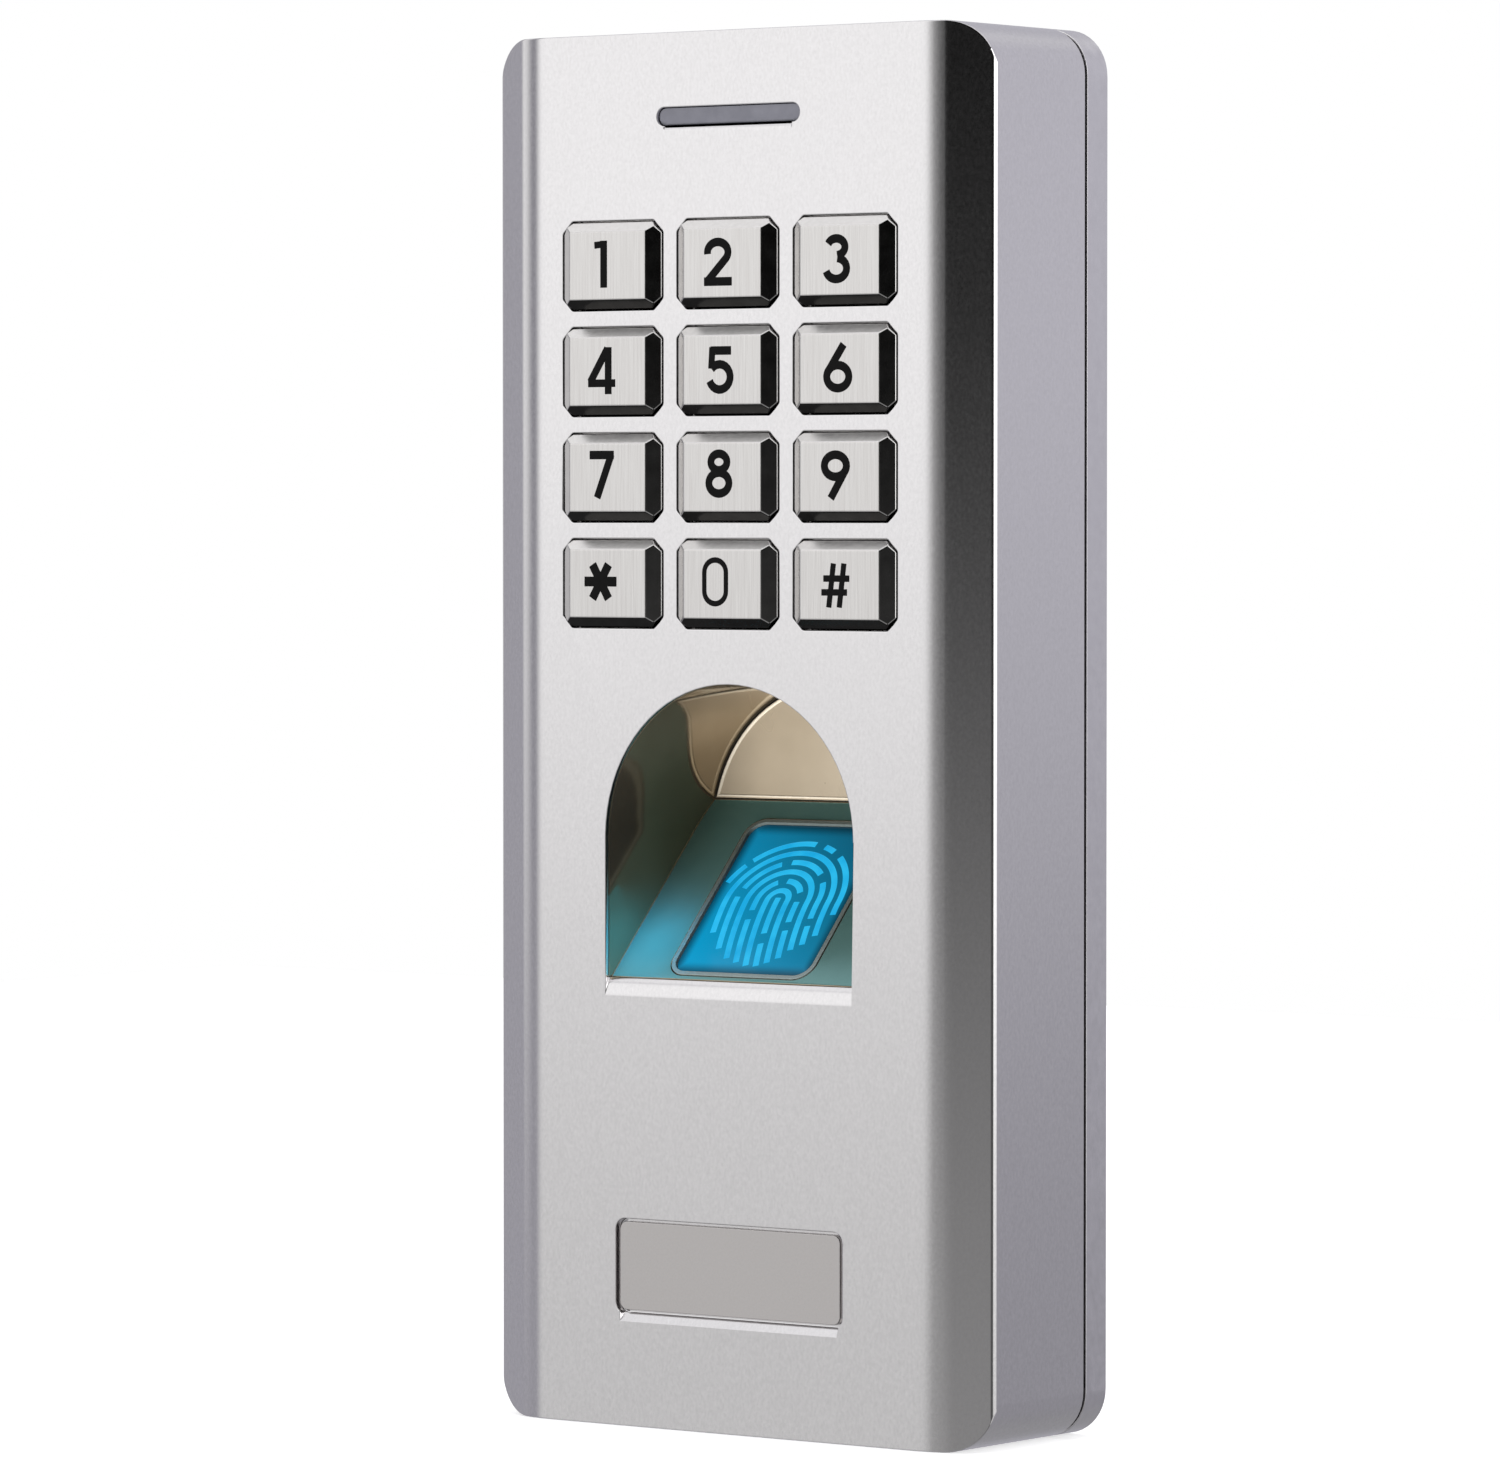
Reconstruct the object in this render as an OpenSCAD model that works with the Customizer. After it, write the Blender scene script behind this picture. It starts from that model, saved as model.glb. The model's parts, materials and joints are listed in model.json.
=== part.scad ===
// Wall-mounted access terminal with a keypad and an optical finger scanner.
// Millimetres. The wall is the plane y = 0, the front faces -Y and +Z is up.

/* [Body] */
// Width of the terminal
body_w = 65; // [65:0.5:70]
// Height of the terminal
body_h = 148; // [148:1:156]
// Depth from the wall to the flat of the front
body_d = 23.2; // [23.2:0.1:24]
// Radius of the outline's corners, seen from the front
corner_r = 5; // [4:0.5:6]
// Width of the sloped shoulder down each side of the front
shoulder_w = 6; // [5:0.5:7]
// How far the shoulder falls back towards the wall
shoulder_drop = 2.65; // [2:0.05:3]
// Radius of the bend between the flat and the shoulder
bend_r = 11; // [6:0.5:12]
// Radius of the edge between the shoulder and the side
edge_r = 0.8; // [0.4:0.1:1.2]
// Thickness of the front sheet
front_t = 1.6; // [1.6:0.1:2]
// Thickness of the side walls
wall_t = 1.8; // [1.6:0.1:2]
// Gap between the terminal and the wall plate
seam_gap = 0.4; // [0.3:0.1:0.6]

/* [Keypad] */
// Distance between the key columns
key_pitch_x = 15.25; // [15:0.05:15.5]
// Distance between the key rows
key_pitch_z = 11.25; // [11.1:0.05:11.4]
// Width of a key where it leaves the front
key_w = 13.1; // [12.5:0.1:13.3]
// Height of a key where it leaves the front
key_h = 9.25; // [9:0.05:9.4]
// Width of a key's flat face
key_face_w = 10.15; // [9:0.05:11]
// Height of a key's flat face
key_face_h = 7.25; // [6:0.05:8]
// Cut across a key's corners
key_chamfer = 1.2; // [0.8:0.1:1.5]
// How far a key stands out of the front
key_rise = 1.0; // [0.8:0.1:1.2]
// How far a key is pressed in
key_travel = 0.7; // [0.5:0.1:0.7]
// Gap round a key in its hole
key_gap = 0.15; // [0.1:0.05:0.2]
// Height of the top row's centre over the middle of the body
key_top_z = 49.5; // [49.5:0.5:50]

/* [Finger recess] */
// Radius of the arched opening
arch_r = 16.25; // [15.5:0.05:16.5]
// Height of the arch's centre over the middle of the body
arch_z = -11.1; // [-11.5:0.1:-10.9]
// Height of the opening's bottom edge at the front
sill_z = -28.2; // [-29:0.1:-28]
// Height of the bevelled sill across the opening's bottom edge
sill_h = 1.3; // [0.8:0.1:1.6]
// Depth of that sill
sill_d = 0.3; // [0.2:0.05:0.6]
// Depth of the recess behind the front
recess_d = 18.9; // [18:0.1:18.9]
// Height of the crease where the ramp meets the back of the recess
crease_z = -7.75; // [-8.5:0.05:-7.5]
// Thickness of the recess's walls
shroud_t = 1.1; // [1:0.1:1.2]

/* [Sensor] */
// Width of the sensor window
window_w = 17.8; // [17:0.1:18]
// Length of the sensor window up the ramp
window_l = 21.3; // [20:0.1:21.4]
// Radius of the sensor window's corners
window_r = 1.8; // [1:0.1:2.5]
// Width of the bezel round the window
bezel_w = 0.5; // [0.4:0.05:0.6]
// How far the window lies below the ramp
window_sink = 0.25; // [0.2:0.05:0.5]

/* [Indicator and badge] */
// Length of the indicator slot
slot_w = 18.7; // [16:0.1:20]
// Height of the indicator slot
slot_h = 1.95; // [1.6:0.05:2.2]
// Height of the indicator slot over the middle of the body
slot_z = 65.1; // [64.5:0.1:65.5]
// Width of the badge pocket
badge_w = 29.8; // [28:0.1:31]
// Height of the badge pocket
badge_h = 10.1; // [9:0.1:11]
// Height of the badge pocket's centre over the middle of the body
badge_z = -56.9; // [-57.5:0.1:-56]

/* [Wall plate] */
// Depth of the wall plate's rim
plate_d = 3.8; // [3.6:0.1:4]
// Thickness of the wall plate's floor
floor_t = 1.5; // [1.2:0.1:1.5]
// Distance between the two wall screws
wall_screw_pitch = 83.5; // [83.5:0.1:85]
// Radius of the wall screw holes
wall_screw_r = 2.1; // [2:0.05:2.3]
// Radius of the wall plate's cable hole
plate_cable_r = 7.5; // [7:0.1:7.6]
// Radius of the way through the cable grommet
grommet_bore_r = 5.5; // [5:0.1:6]

/* [Hidden] */

$fn = 64;
eps = 0.02;
both_sides = [-1, 1];

// Depths, from the front to the wall
front_y = -body_d;
sheet_y = front_y + front_t;
shell_rear_y = -plate_d - seam_gap;
cover_t = 1.2;
cover_y = shell_rear_y - cover_t;
gasket_t = 0.8;
ledge_y = cover_y - gasket_t;
ledge_t = 2.8;
ledge_w = 1.4;
board_t = 1.6;
board_rear_y = front_y + 9.7;
board_y = board_rear_y - board_t;
plate_rim_t = 1.5;

// The front's cross-section: the shoulder's slope and the same shape inside the wall
shoulder_slope = shoulder_drop / shoulder_w;
slope_stretch = sqrt(1 + pow(shoulder_slope, 2));
inner_bend_x = body_w / 2 - shoulder_w - front_t * (slope_stretch - 1) / shoulder_slope;
inner_side_x = body_w / 2 - wall_t;
inner_side_y = front_y + front_t * slope_stretch + (shoulder_w - wall_t) * shoulder_slope;

// Bevelled lower lips of the indicator slot and the badge pocket: height and depth
slot_lip = [0.4, 0.35];
badge_lip = [0.9, 0.6];
badge_pocket_d = 0.9;
badge_sink = 0.2;
badge_t = 0.58;

// Keys: face, retaining flange and the post that presses the switch
key_face_y = front_y - key_rise;
key_flange_t = 0.8;
key_flange_w = 0.6;
key_flange_y = sheet_y + 0.05;
key_flange_rear_y = key_flange_y + key_flange_t;
key_post_r = 1.8;
switch_h = 1.6;
switch_w = 6;
switch_y = board_y - switch_h;
plunger_r = 1.7;
plunger_out = key_travel + 0.2;
plunger_in = 0.3;
plunger_y = switch_y - plunger_out;
running_gap = 0.08;
key_cols = [-key_pitch_x, 0, key_pitch_x];
key_rows = [for (i = [0 : 3]) key_top_z - i * key_pitch_z];
KEYS = ["1", "2", "3", "4", "5", "6", "7", "8", "9", "star", "0", "hash"];
function key_at(i) = [key_cols[i % 3], 0, key_rows[floor(i / 3)]];

// Keypad frame behind the keys
frame_t = 1.2;
frame_y = key_flange_rear_y + key_travel + 0.15;
frame_rim_t = 1.1;
frame_clear = 0.4;
frame_in_x = key_pitch_x + key_w / 2 + key_flange_w + frame_clear;
frame_top_z = key_rows[0] + key_h / 2 + key_flange_w + frame_clear;
frame_bottom_z = key_rows[3] - key_h / 2 - key_flange_w - frame_clear;

// Ramp of the finger recess: a frame of its own, with Y up the slope and Z out of it
ramp_front = [front_y + sill_d, sill_z + sill_h];
ramp_high = [front_y + recess_d, crease_z];
ramp_slope = (ramp_high.y - ramp_front.y) / (ramp_high.x - ramp_front.x);
function ramp_z(y) = ramp_front.y + (y - ramp_front.x) * ramp_slope;
foot_y = sheet_y - 0.6;
ramp_low = [foot_y, ramp_z(foot_y)];
ramp_run = ramp_high - ramp_low;
ramp_len = norm(ramp_run);
ramp_angle = atan2(ramp_run.y, ramp_run.x);
ramp_mid = (ramp_low + ramp_high) / 2;
ramp_t = 1.2;
recess_back_t = 0.8;
recess_back_y = ramp_high.x + recess_back_t;
window_y = 11.8 - ramp_len / 2;
window_t = 1.45;
bezel_rise = 0.1;
sensor_top = -window_sink - window_t;
collar_d = 1;

// Shroud flange and its screws
flange_t = 1.2;
flange_x = 23.2;
flange_top_z = 8.8;
flange_bottom_z = -33;
shroud_post_r = 1.8;
shroud_screw_x = 20.4;
shroud_screw_zs = [0, -30];

// Optical unit under the ramp
housing_x = 10.6;
housing_in_x = 9.3;
housing_front_y = -20.2;
housing_rear_y = -5.6;
housing_wall = 1.3;
housing_back = 1.0;
prism_rest_z = -24.35;
housing_bottom_z = -40;
prism_half = 7.4;
prism_x = 9.2;
lens_y = -12;
sensor_board_t = 1.2;
ear_x = 12.7;
ear_z = -4.2;
ear_t = 1.5;
small_screw_r = 0.95;
small_pilot_r = 1.0;
small_boss_r = 1.9;
board_boss_x = 7.9;
board_boss_y = -17;

// Main board and what holds it
board_x = 28.5;
board_end_z = 61;
tongue_x = 14;
tongue_z = 69;
cut_x = 18.4;
cut_top_z = 7.4;
cut_bottom_z = -43.5;
board_post_x = 26;
board_post_zs = [58, 4, -57];
board_post_r = 2.2;
board_screw_r = 1.2;
board_pilot_r = 1.25;

// Rear cover: screws, relief over the recess, hook slots
cover_fit = 0.25;
cover_post_x = 25;
cover_post_z = 66;
cover_post_r = 2.9;
cover_screw_r = 1.45;
cover_pilot_r = 1.5;
relief_x = 20.5;
relief_top_z = 8.6;
relief_bottom_z = -15;
relief_rise = 1.8;
relief_wall = 1.0;
cable_z = 30;
cover_cable_r = 7.6;
hook_x = 10;
hook_w = 8;
hook_t = 1.5;
hook_z = 62;
hook_lip_h = 4;
hook_lip_y = -7.4;
tab_w = 12;
tab_t = 1.5;
tab_z = -70.6;
tab_front_y = -11;
security_y = -8;
security_r = 1.45;
security_head_r = 2.9;
security_head_h = 1.0;
tamper_at = [20, 0, 52];

// ---- shapes drawn on X and Z and given a depth from y0 to y1 ----
module slab(y0, y1) { translate([0, y1, 0]) rotate([90, 0, 0]) linear_extrude(y1 - y0) children(); }

// ---- shapes drawn on Y and Z and given a width from x0 to x1 ----
module side_slab(x0, x1) { translate([x0, 0, 0]) rotate([90, 0, 90]) linear_extrude(x1 - x0) children(); }

module rounded_rect(w, h, r) {
    square([w - 2 * r, h], center = true);
    square([w, h - 2 * r], center = true);
    for (x = both_sides, y = both_sides) translate([x * (w / 2 - r), y * (h / 2 - r)]) circle(r);
}

module span_rect(x, z0, z1) { translate([-x, z0]) square([2 * x, z1 - z0]); }

module cut_corner_rect(w, h, c) {
    a = w / 2;
    b = h / 2;
    polygon([[c - a, -b], [a - c, -b], [a, c - b], [a, b - c],
             [a - c, b], [c - a, b], [-a, b - c], [-a, c - b]]);
}

module arch(r, bottom) {
    translate([0, arch_z]) circle(r);
    translate([-r, bottom]) square([2 * r, arch_z - bottom]);
}

// A rod, or a hole, along Y
module y_rod(r, y0, y1) { translate([0, y1, 0]) rotate([90, 0, 0]) cylinder(r = r, h = y1 - y0); }

// A pan-head screw along Y: the head's seat is at y, its head towards the wall
module y_screw(r, y, depth, head_r, head_h) {
    difference() {
        union() {
            y_rod(r, y - depth, y + eps);
            y_rod(head_r, y, y + head_h);
        }
        for (a = [0, 90]) translate([0, y + head_h, 0]) rotate([0, a, 0])
            cube([head_r * 1.3, head_h, head_r * 0.3], center = true);
    }
}

// The same screw standing along +Z, with its seat at z = 0
module z_screw(r, depth, head_r, head_h) {
    rotate([-90, 0, 0]) mirror([0, 1, 0]) y_screw(r, 0, depth, head_r, head_h);
}

// The outline's corner b, between a and c, cut back to a true arc of radius r
function unit(v) = v / norm(v);
function half_angle(a, b, c) = acos(unit(a - b) * unit(c - b)) / 2;
function arc_start(a, b, c, r) = b + unit(a - b) * r / tan(half_angle(a, b, c));
function arc_end(a, b, c, r) = b + unit(c - b) * r / tan(half_angle(a, b, c));
function arc_centre(a, b, c, r) = b + unit(unit(a - b) + unit(c - b)) * r / sin(half_angle(a, b, c));

module rounded_outline(points, radii) {
    n = len(points);
    function before(i) = points[(i + n - 1) % n];
    function after(i) = points[(i + 1) % n];
    polygon([for (i = [0 : n - 1]) each radii[i] == 0 ? [points[i]] :
        [arc_start(before(i), points[i], after(i), radii[i]),
         arc_end(before(i), points[i], after(i), radii[i])]]);
    for (i = [0 : n - 1]) if (radii[i] > 0) intersection() {
        translate(arc_centre(before(i), points[i], after(i), radii[i])) circle(radii[i]);
        polygon([arc_start(before(i), points[i], after(i), radii[i]), points[i],
                 arc_end(before(i), points[i], after(i), radii[i]),
                 arc_centre(before(i), points[i], after(i), radii[i])]);
    }
}

// The front's cross-section on X and Y, back to rear_y
module front_section(side_x, side_y, bend_x, flat_y, rear_y, bend, edge) {
    rounded_outline([[-side_x, rear_y], [side_x, rear_y], [side_x, side_y], [bend_x, flat_y],
                     [-bend_x, flat_y], [-side_x, side_y]], [0, 0, edge, bend, bend, edge]);
}

module body_outline(inset) { rounded_rect(body_w - 2 * inset, body_h - 2 * inset, corner_r - inset); }

// Sits children on the ramp: Z out of it, Y up its slope, origin at its middle
module on_ramp() { translate([0, ramp_mid.x, ramp_mid.y]) rotate([ramp_angle, 0, 0]) children(); }

// Everything above the ramp's surface, or above that surface lowered by drop
module above_ramp(drop, front, rear) {
    lower = drop / cos(ramp_angle);
    top = arch_z + arch_r + 5;
    side_slab(-arch_r - 5, arch_r + 5)
        polygon([[front, ramp_z(front) - lower], [rear, ramp_z(rear) - lower], [rear, top], [front, top]]);
}

// ---- front shell ----
module shell_outer() {
    intersection() {
        linear_extrude(body_h + 2, center = true)
            front_section(body_w / 2, front_y + shoulder_drop, body_w / 2 - shoulder_w, front_y,
                          shell_rear_y, bend_r, edge_r);
        slab(front_y - 1, shell_rear_y + 1) body_outline(0);
    }
}

module shell_cavity() {
    intersection() {
        linear_extrude(body_h, center = true)
            front_section(inner_side_x, inner_side_y, inner_bend_x, sheet_y,
                          ledge_y - ledge_t, bend_r - front_t, edge_r);
        slab(sheet_y - 1, ledge_y - ledge_t + 1) body_outline(wall_t);
    }
    slab(ledge_y - ledge_t - eps, ledge_y + eps) body_outline(wall_t + ledge_w);
    slab(ledge_y, shell_rear_y + 1) body_outline(wall_t);
}

module at_board_posts() {
    for (x = both_sides, z = board_post_zs) translate([x * board_post_x, 0, z]) children();
}

module at_cover_posts() {
    for (x = both_sides, z = both_sides) translate([x * cover_post_x, 0, z * cover_post_z]) children();
}

module at_shroud_posts() {
    for (x = both_sides, z = shroud_screw_zs) translate([x * shroud_screw_x, 0, z]) children();
}

module shell_posts() {
    embed = 0.6;
    at_board_posts() y_rod(board_post_r, sheet_y - embed, board_y);
    at_cover_posts() y_rod(cover_post_r, sheet_y - embed, cover_y);
    at_shroud_posts() y_rod(shroud_post_r, sheet_y - embed, sheet_y + flange_t - 0.1);
}

module shell_pilots() {
    at_board_posts() y_rod(board_pilot_r, board_y - 5, board_y + 1);
    at_cover_posts() y_rod(cover_pilot_r, cover_y - 9, cover_y + 1);
    at_shroud_posts() y_rod(small_pilot_r, sheet_y - 0.9, sheet_y + 2);
}

// A pocket's bottom edge, sloped down and outwards: h high at the front, depth deep
module lip_cut(half_w, z, h, depth) {
    above = z + 0.3;
    side_slab(-half_w, half_w)
        polygon([[front_y - 1, z - h - h / depth], [front_y + depth, z],
                 [front_y + depth, above], [front_y - 1, above]]);
}

module shell_openings() {
    for (i = [0 : 11]) translate(key_at(i)) slab(front_y - 1, sheet_y + 1)
        cut_corner_rect(key_w + 2 * key_gap, key_h + 2 * key_gap, key_chamfer + key_gap / 2);
    translate([0, 0, slot_z]) {
        slab(front_y - 1, sheet_y + 1) rounded_rect(slot_w, slot_h, slot_h / 2 - 0.01);
        lip_cut(slot_w / 2 - slot_h / 2, -slot_h / 2, slot_lip[0], slot_lip[1]);
    }
    translate([0, 0, badge_z]) {
        slab(front_y - 1, front_y + badge_pocket_d) rounded_rect(badge_w, badge_h, 1.2);
        lip_cut(badge_w / 2 - 0.6, -badge_h / 2, badge_lip[0], badge_lip[1]);
    }
    slab(front_y - 1, sheet_y + 1) arch(arch_r, sill_z);
    intersection() {
        slab(sheet_y - collar_d - 0.05, sheet_y + 1) arch(arch_r + shroud_t + 0.1, sill_z);
        slab(front_y, 0) span_rect(body_w / 2, ramp_low.y, arch_z + arch_r + 3);
    }
}

// The sill that closes the bottom of the finger opening: a bevel at the front, then the foot of the ramp
module sill() {
    below = sill_z - 0.5;
    side_slab(-arch_r - eps, arch_r + eps)
        polygon([[front_y, sill_z], [front_y, below], [sheet_y, below], ramp_low, ramp_front]);
}

module front_shell() {
    color("silver") difference() {
        union() {
            difference() {
                shell_outer();
                shell_cavity();
                shell_openings();
            }
            sill();
            shell_posts();
        }
        shell_pilots();
        translate([0, security_y, -body_h / 2 - 1]) {
            cylinder(r = security_r + 0.15, h = 6);
            cylinder(r = security_head_r + 0.1, h = 1 + security_head_h);
        }
    }
}

// ---- finger recess ----
module recess_void() {
    intersection() {
        slab(front_y, ramp_high.x) arch(arch_r, ramp_front.y - 2);
        above_ramp(0, front_y, ramp_high.x);
        slab(front_y, 0) span_rect(body_w / 2, ramp_low.y, arch_z + arch_r + 3);
    }
}

// Carries the ramp forward into the sheet's opening, down to the sill
module shroud_nose() {
    top = ramp_z(sheet_y + eps);
    side_slab(eps - arch_r, arch_r - eps)
        polygon([ramp_low, [sheet_y + eps, top], [sheet_y + eps, top - ramp_t / cos(ramp_angle)]]);
}

module finger_shroud() {
    color("dimgray") difference() {
        union() {
            intersection() {
                slab(sheet_y - collar_d, recess_back_y) arch(arch_r + shroud_t, ramp_low.y - 3);
                union() {
                    above_ramp(ramp_t, sheet_y, recess_back_y);
                    slab(sheet_y - collar_d, sheet_y + eps)
                        span_rect(arch_r + 5, ramp_low.y, arch_z + arch_r + 5);
                }
            }
            shroud_nose();
            slab(sheet_y, sheet_y + flange_t) span_rect(flange_x, flange_bottom_z, flange_top_z);
            on_ramp() for (x = both_sides) translate([x * ear_x, window_y, ear_z])
                cylinder(r = small_boss_r, h = -ear_z - ramp_t / 2);
        }
        recess_void();
        on_ramp() {
            translate([0, window_y, -ramp_t - 1]) linear_extrude(ramp_t + 2)
                rounded_rect(window_w + 2 * bezel_w + 0.1, window_l + 2 * bezel_w + 0.1, window_r + bezel_w);
            for (x = both_sides) translate([x * ear_x, window_y, ear_z - 1])
                cylinder(r = small_pilot_r, h = 3.6);
        }
        at_shroud_posts() y_rod(shroud_post_r + 0.15, sheet_y - 1, sheet_y + flange_t + 1);
    }
}

module shroud_screws() {
    color("silver") at_shroud_posts()
        y_screw(small_screw_r, sheet_y + flange_t, 2, 2.8, 1.2);
}

// ---- optical sensor ----
module sensor_bezel() {
    color("darkgray") on_ramp() translate([0, window_y, 0]) difference() {
        union() {
            translate([0, 0, -ramp_t]) linear_extrude(ramp_t + bezel_rise)
                rounded_rect(window_w + 2 * bezel_w, window_l + 2 * bezel_w, window_r + bezel_w);
            translate([0, 0, sensor_top]) linear_extrude(-sensor_top - ramp_t)
                square([2 * housing_x - 0.2, 18], center = true);
        }
        translate([0, 0, sensor_top - 1]) linear_extrude(4) rounded_rect(window_w, window_l, window_r);
    }
}

module sensor_window() {
    color("deepskyblue") on_ramp() translate([0, window_y, sensor_top])
        linear_extrude(window_t) rounded_rect(window_w - 0.1, window_l - 0.1, window_r - 0.05);
}

module sensor_prism() {
    top = sensor_top - 0.05;
    color("lightcyan") on_ramp() side_slab(-prism_x, prism_x)
        polygon([[window_y - prism_half, top], [window_y, top - prism_half], [window_y + prism_half, top]]);
}

module housing_side(front, rear, bottom) {
    lower = -sensor_top / cos(ramp_angle);
    polygon([[front, bottom], [rear, bottom], [rear, ramp_z(rear) - lower], [front, ramp_z(front) - lower]]);
}

module at_board_bosses() {
    for (x = both_sides) translate([x * board_boss_x, board_boss_y, housing_bottom_z]) children();
}

module sensor_housing() {
    rest_front = -16.8;
    rest_rear = housing_rear_y - housing_back / 2;
    rest_y = (rest_front + rest_rear) / 2;
    rest_t = 1.2;
    rest_w = 1.6;
    rest_x = housing_in_x - 0.5;
    embed = 0.8;
    ear_end_x = ear_x + small_boss_r;
    color("darkslategray") difference() {
        union() {
            difference() {
                side_slab(-housing_x, housing_x)
                    housing_side(housing_front_y, housing_rear_y, housing_bottom_z);
                side_slab(-housing_in_x, housing_in_x)
                    housing_side(housing_front_y + housing_wall, housing_rear_y - housing_back,
                                 housing_bottom_z - 1);
            }
            for (x = both_sides)
                translate([x * rest_x, rest_y, prism_rest_z - rest_t / 2])
                    cube([rest_w, rest_rear - rest_front, rest_t], center = true);
            at_board_bosses() cylinder(r = small_boss_r, h = 6);
            on_ramp() for (x = both_sides)
                translate([x * (housing_x - embed + ear_end_x) / 2, window_y, ear_z - ear_t / 2])
                    cube([ear_end_x - housing_x + embed, 2 * small_boss_r + 1, ear_t], center = true);
        }
        at_board_bosses() translate([0, 0, -1]) cylinder(r = small_pilot_r, h = 6);
        on_ramp() for (x = both_sides) translate([x * ear_x, window_y, ear_z - ear_t - 1])
            cylinder(r = small_screw_r + 0.15, h = ear_t + 2);
    }
}

module sensor_lens() {
    color("dimgray") translate([0, lens_y, housing_bottom_z]) difference() {
        union() {
            cylinder(r = 4.2, h = 3);
            cylinder(r = 3.2, h = 8);
        }
        translate([0, 0, 6.6]) cylinder(r1 = 1.4, r2 = 2.6, h = 1.6);
    }
}

module sensor_board() {
    color("seagreen") difference() {
        translate([0, 0, housing_bottom_z - sensor_board_t]) linear_extrude(sensor_board_t)
            translate([-housing_x, housing_front_y])
                square([2 * housing_x, housing_rear_y - housing_front_y]);
        at_board_bosses() translate([0, 0, -2]) cylinder(r = small_screw_r + 0.15, h = 3);
    }
}

module sensor_leds() {
    color("aqua") for (x = [-6.4, 6.4], y = [-8.6, -12.6]) translate([x, y, housing_bottom_z + 0.4])
        cube([1.6, 1.6, 0.8], center = true);
}

module ribbon_connectors() {
    color("ivory") {
        translate([-5, -12, housing_bottom_z - sensor_board_t - 1.2]) cube([10, 3, 1.2]);
        translate([-5, board_rear_y, -48]) cube([10, 2, 3]);
    }
}

module sensor_ribbon() {
    t = 0.3;
    plug_y = -9;
    bend_y = -7.4;
    top = housing_bottom_z - sensor_board_t - 0.45;
    bottom = -46.4;
    end_y = board_rear_y + 2;
    color("white") side_slab(-4, 4)
        polygon([[plug_y, top], [bend_y, top], [bend_y, bottom - t], [end_y, bottom - t],
                 [end_y, bottom], [bend_y - t, bottom], [bend_y - t, top - t], [plug_y, top - t]]);
}

module sensor_screws() {
    color("silver") {
        at_board_bosses() translate([0, 0, -sensor_board_t]) mirror([0, 0, 1])
            z_screw(small_screw_r, 4.2, 1.8, 1.2);
        on_ramp() for (x = both_sides) translate([x * ear_x, window_y, ear_z - ear_t]) mirror([0, 0, 1])
            z_screw(small_screw_r, 3.6, 1.8, 1.2);
    }
}

// ---- indicator and badge ----
module indicator_lens() {
    flange = 0.8;
    guide_end_y = board_y - 1.6;
    color("slategray") translate([0, 0, slot_z]) {
        slab(front_y + 0.35, sheet_y + eps) rounded_rect(slot_w - 0.1, slot_h - 0.1, slot_h / 2 - 0.06);
        slab(sheet_y, sheet_y + flange) rounded_rect(slot_w + 2.4, slot_h + 2.2, 1);
        for (x = [-6, 0, 6]) translate([x, 0, 0])
            slab(sheet_y + flange - eps, guide_end_y) square([3, 2], center = true);
    }
}

module indicator_leds() {
    color("white") for (x = [-6, 0, 6]) translate([x, 0, slot_z])
        slab(board_y - 1.1, board_y) square([3, 1.6], center = true);
}

module badge_adhesive() {
    color("black") translate([0, 0, badge_z]) slab(front_y + badge_sink + badge_t, front_y + badge_pocket_d)
        rounded_rect(badge_w - 2, badge_h - 1.8, 0.8);
}

module badge_plate() {
    color("gainsboro") translate([0, 0, badge_z]) slab(front_y + badge_sink, front_y + badge_sink + badge_t)
        rounded_rect(badge_w - 0.8, badge_h - 0.7, 0.9);
}

// ---- keypad ----
module keycap(i) {
    c = key_at(i);
    color("gainsboro") translate(c) {
        intersection() {
            linear_extrude(2 * key_h, center = true) key_side(key_w / 2, key_face_w / 2);
            side_slab(-key_w, key_w) key_rise_section(key_h / 2, key_face_h / 2);
            slab(key_face_y - 1, key_flange_y + 1) cut_corner_rect(key_w, key_h, key_chamfer);
        }
        slab(key_flange_y, key_flange_rear_y)
            cut_corner_rect(key_w + 2 * key_flange_w, key_h + 2 * key_flange_w, key_chamfer);
        y_rod(key_post_r, key_flange_rear_y - eps, plunger_y);
    }
}

module key_side(base, face) {
    polygon([[-base, key_flange_y + eps], [base, key_flange_y + eps], [base, front_y],
             [face, key_face_y], [-face, key_face_y], [-base, front_y]]);
}

module key_rise_section(base, face) {
    polygon([[key_flange_y + eps, -base], [key_flange_y + eps, base], [front_y, base],
             [key_face_y, face], [key_face_y, -face], [front_y, -base]]);
}

module plunger(i) {
    color("white") translate(key_at(i)) y_rod(plunger_r, plunger_y, switch_y + plunger_in);
}

module switch_bodies() {
    color("black") for (i = [0 : 11]) translate(key_at(i)) difference() {
        slab(switch_y, board_y) cut_corner_rect(switch_w, switch_w, 0.5);
        y_rod(plunger_r + running_gap, switch_y - 1, board_y - 0.35);
    }
}

module keypad_frame() {
    leg_x = 22;
    leg_zs = [13, 32.6, 52];
    color("darkslategray") {
        difference() {
            slab(frame_y, frame_y + frame_t)
                span_rect(frame_in_x + frame_rim_t, frame_bottom_z - frame_rim_t, frame_top_z + frame_rim_t);
            for (i = [0 : 11]) translate(key_at(i))
                y_rod(key_post_r + running_gap, frame_y - 1, frame_y + frame_t + 1);
        }
        slab(sheet_y, frame_y + eps) difference() {
            span_rect(frame_in_x + frame_rim_t, frame_bottom_z - frame_rim_t, frame_top_z + frame_rim_t);
            span_rect(frame_in_x, frame_bottom_z, frame_top_z);
        }
        for (x = both_sides, z = leg_zs) translate([x * leg_x, 0, z])
            y_rod(1.2, frame_y + frame_t - eps, board_y);
    }
}

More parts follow.
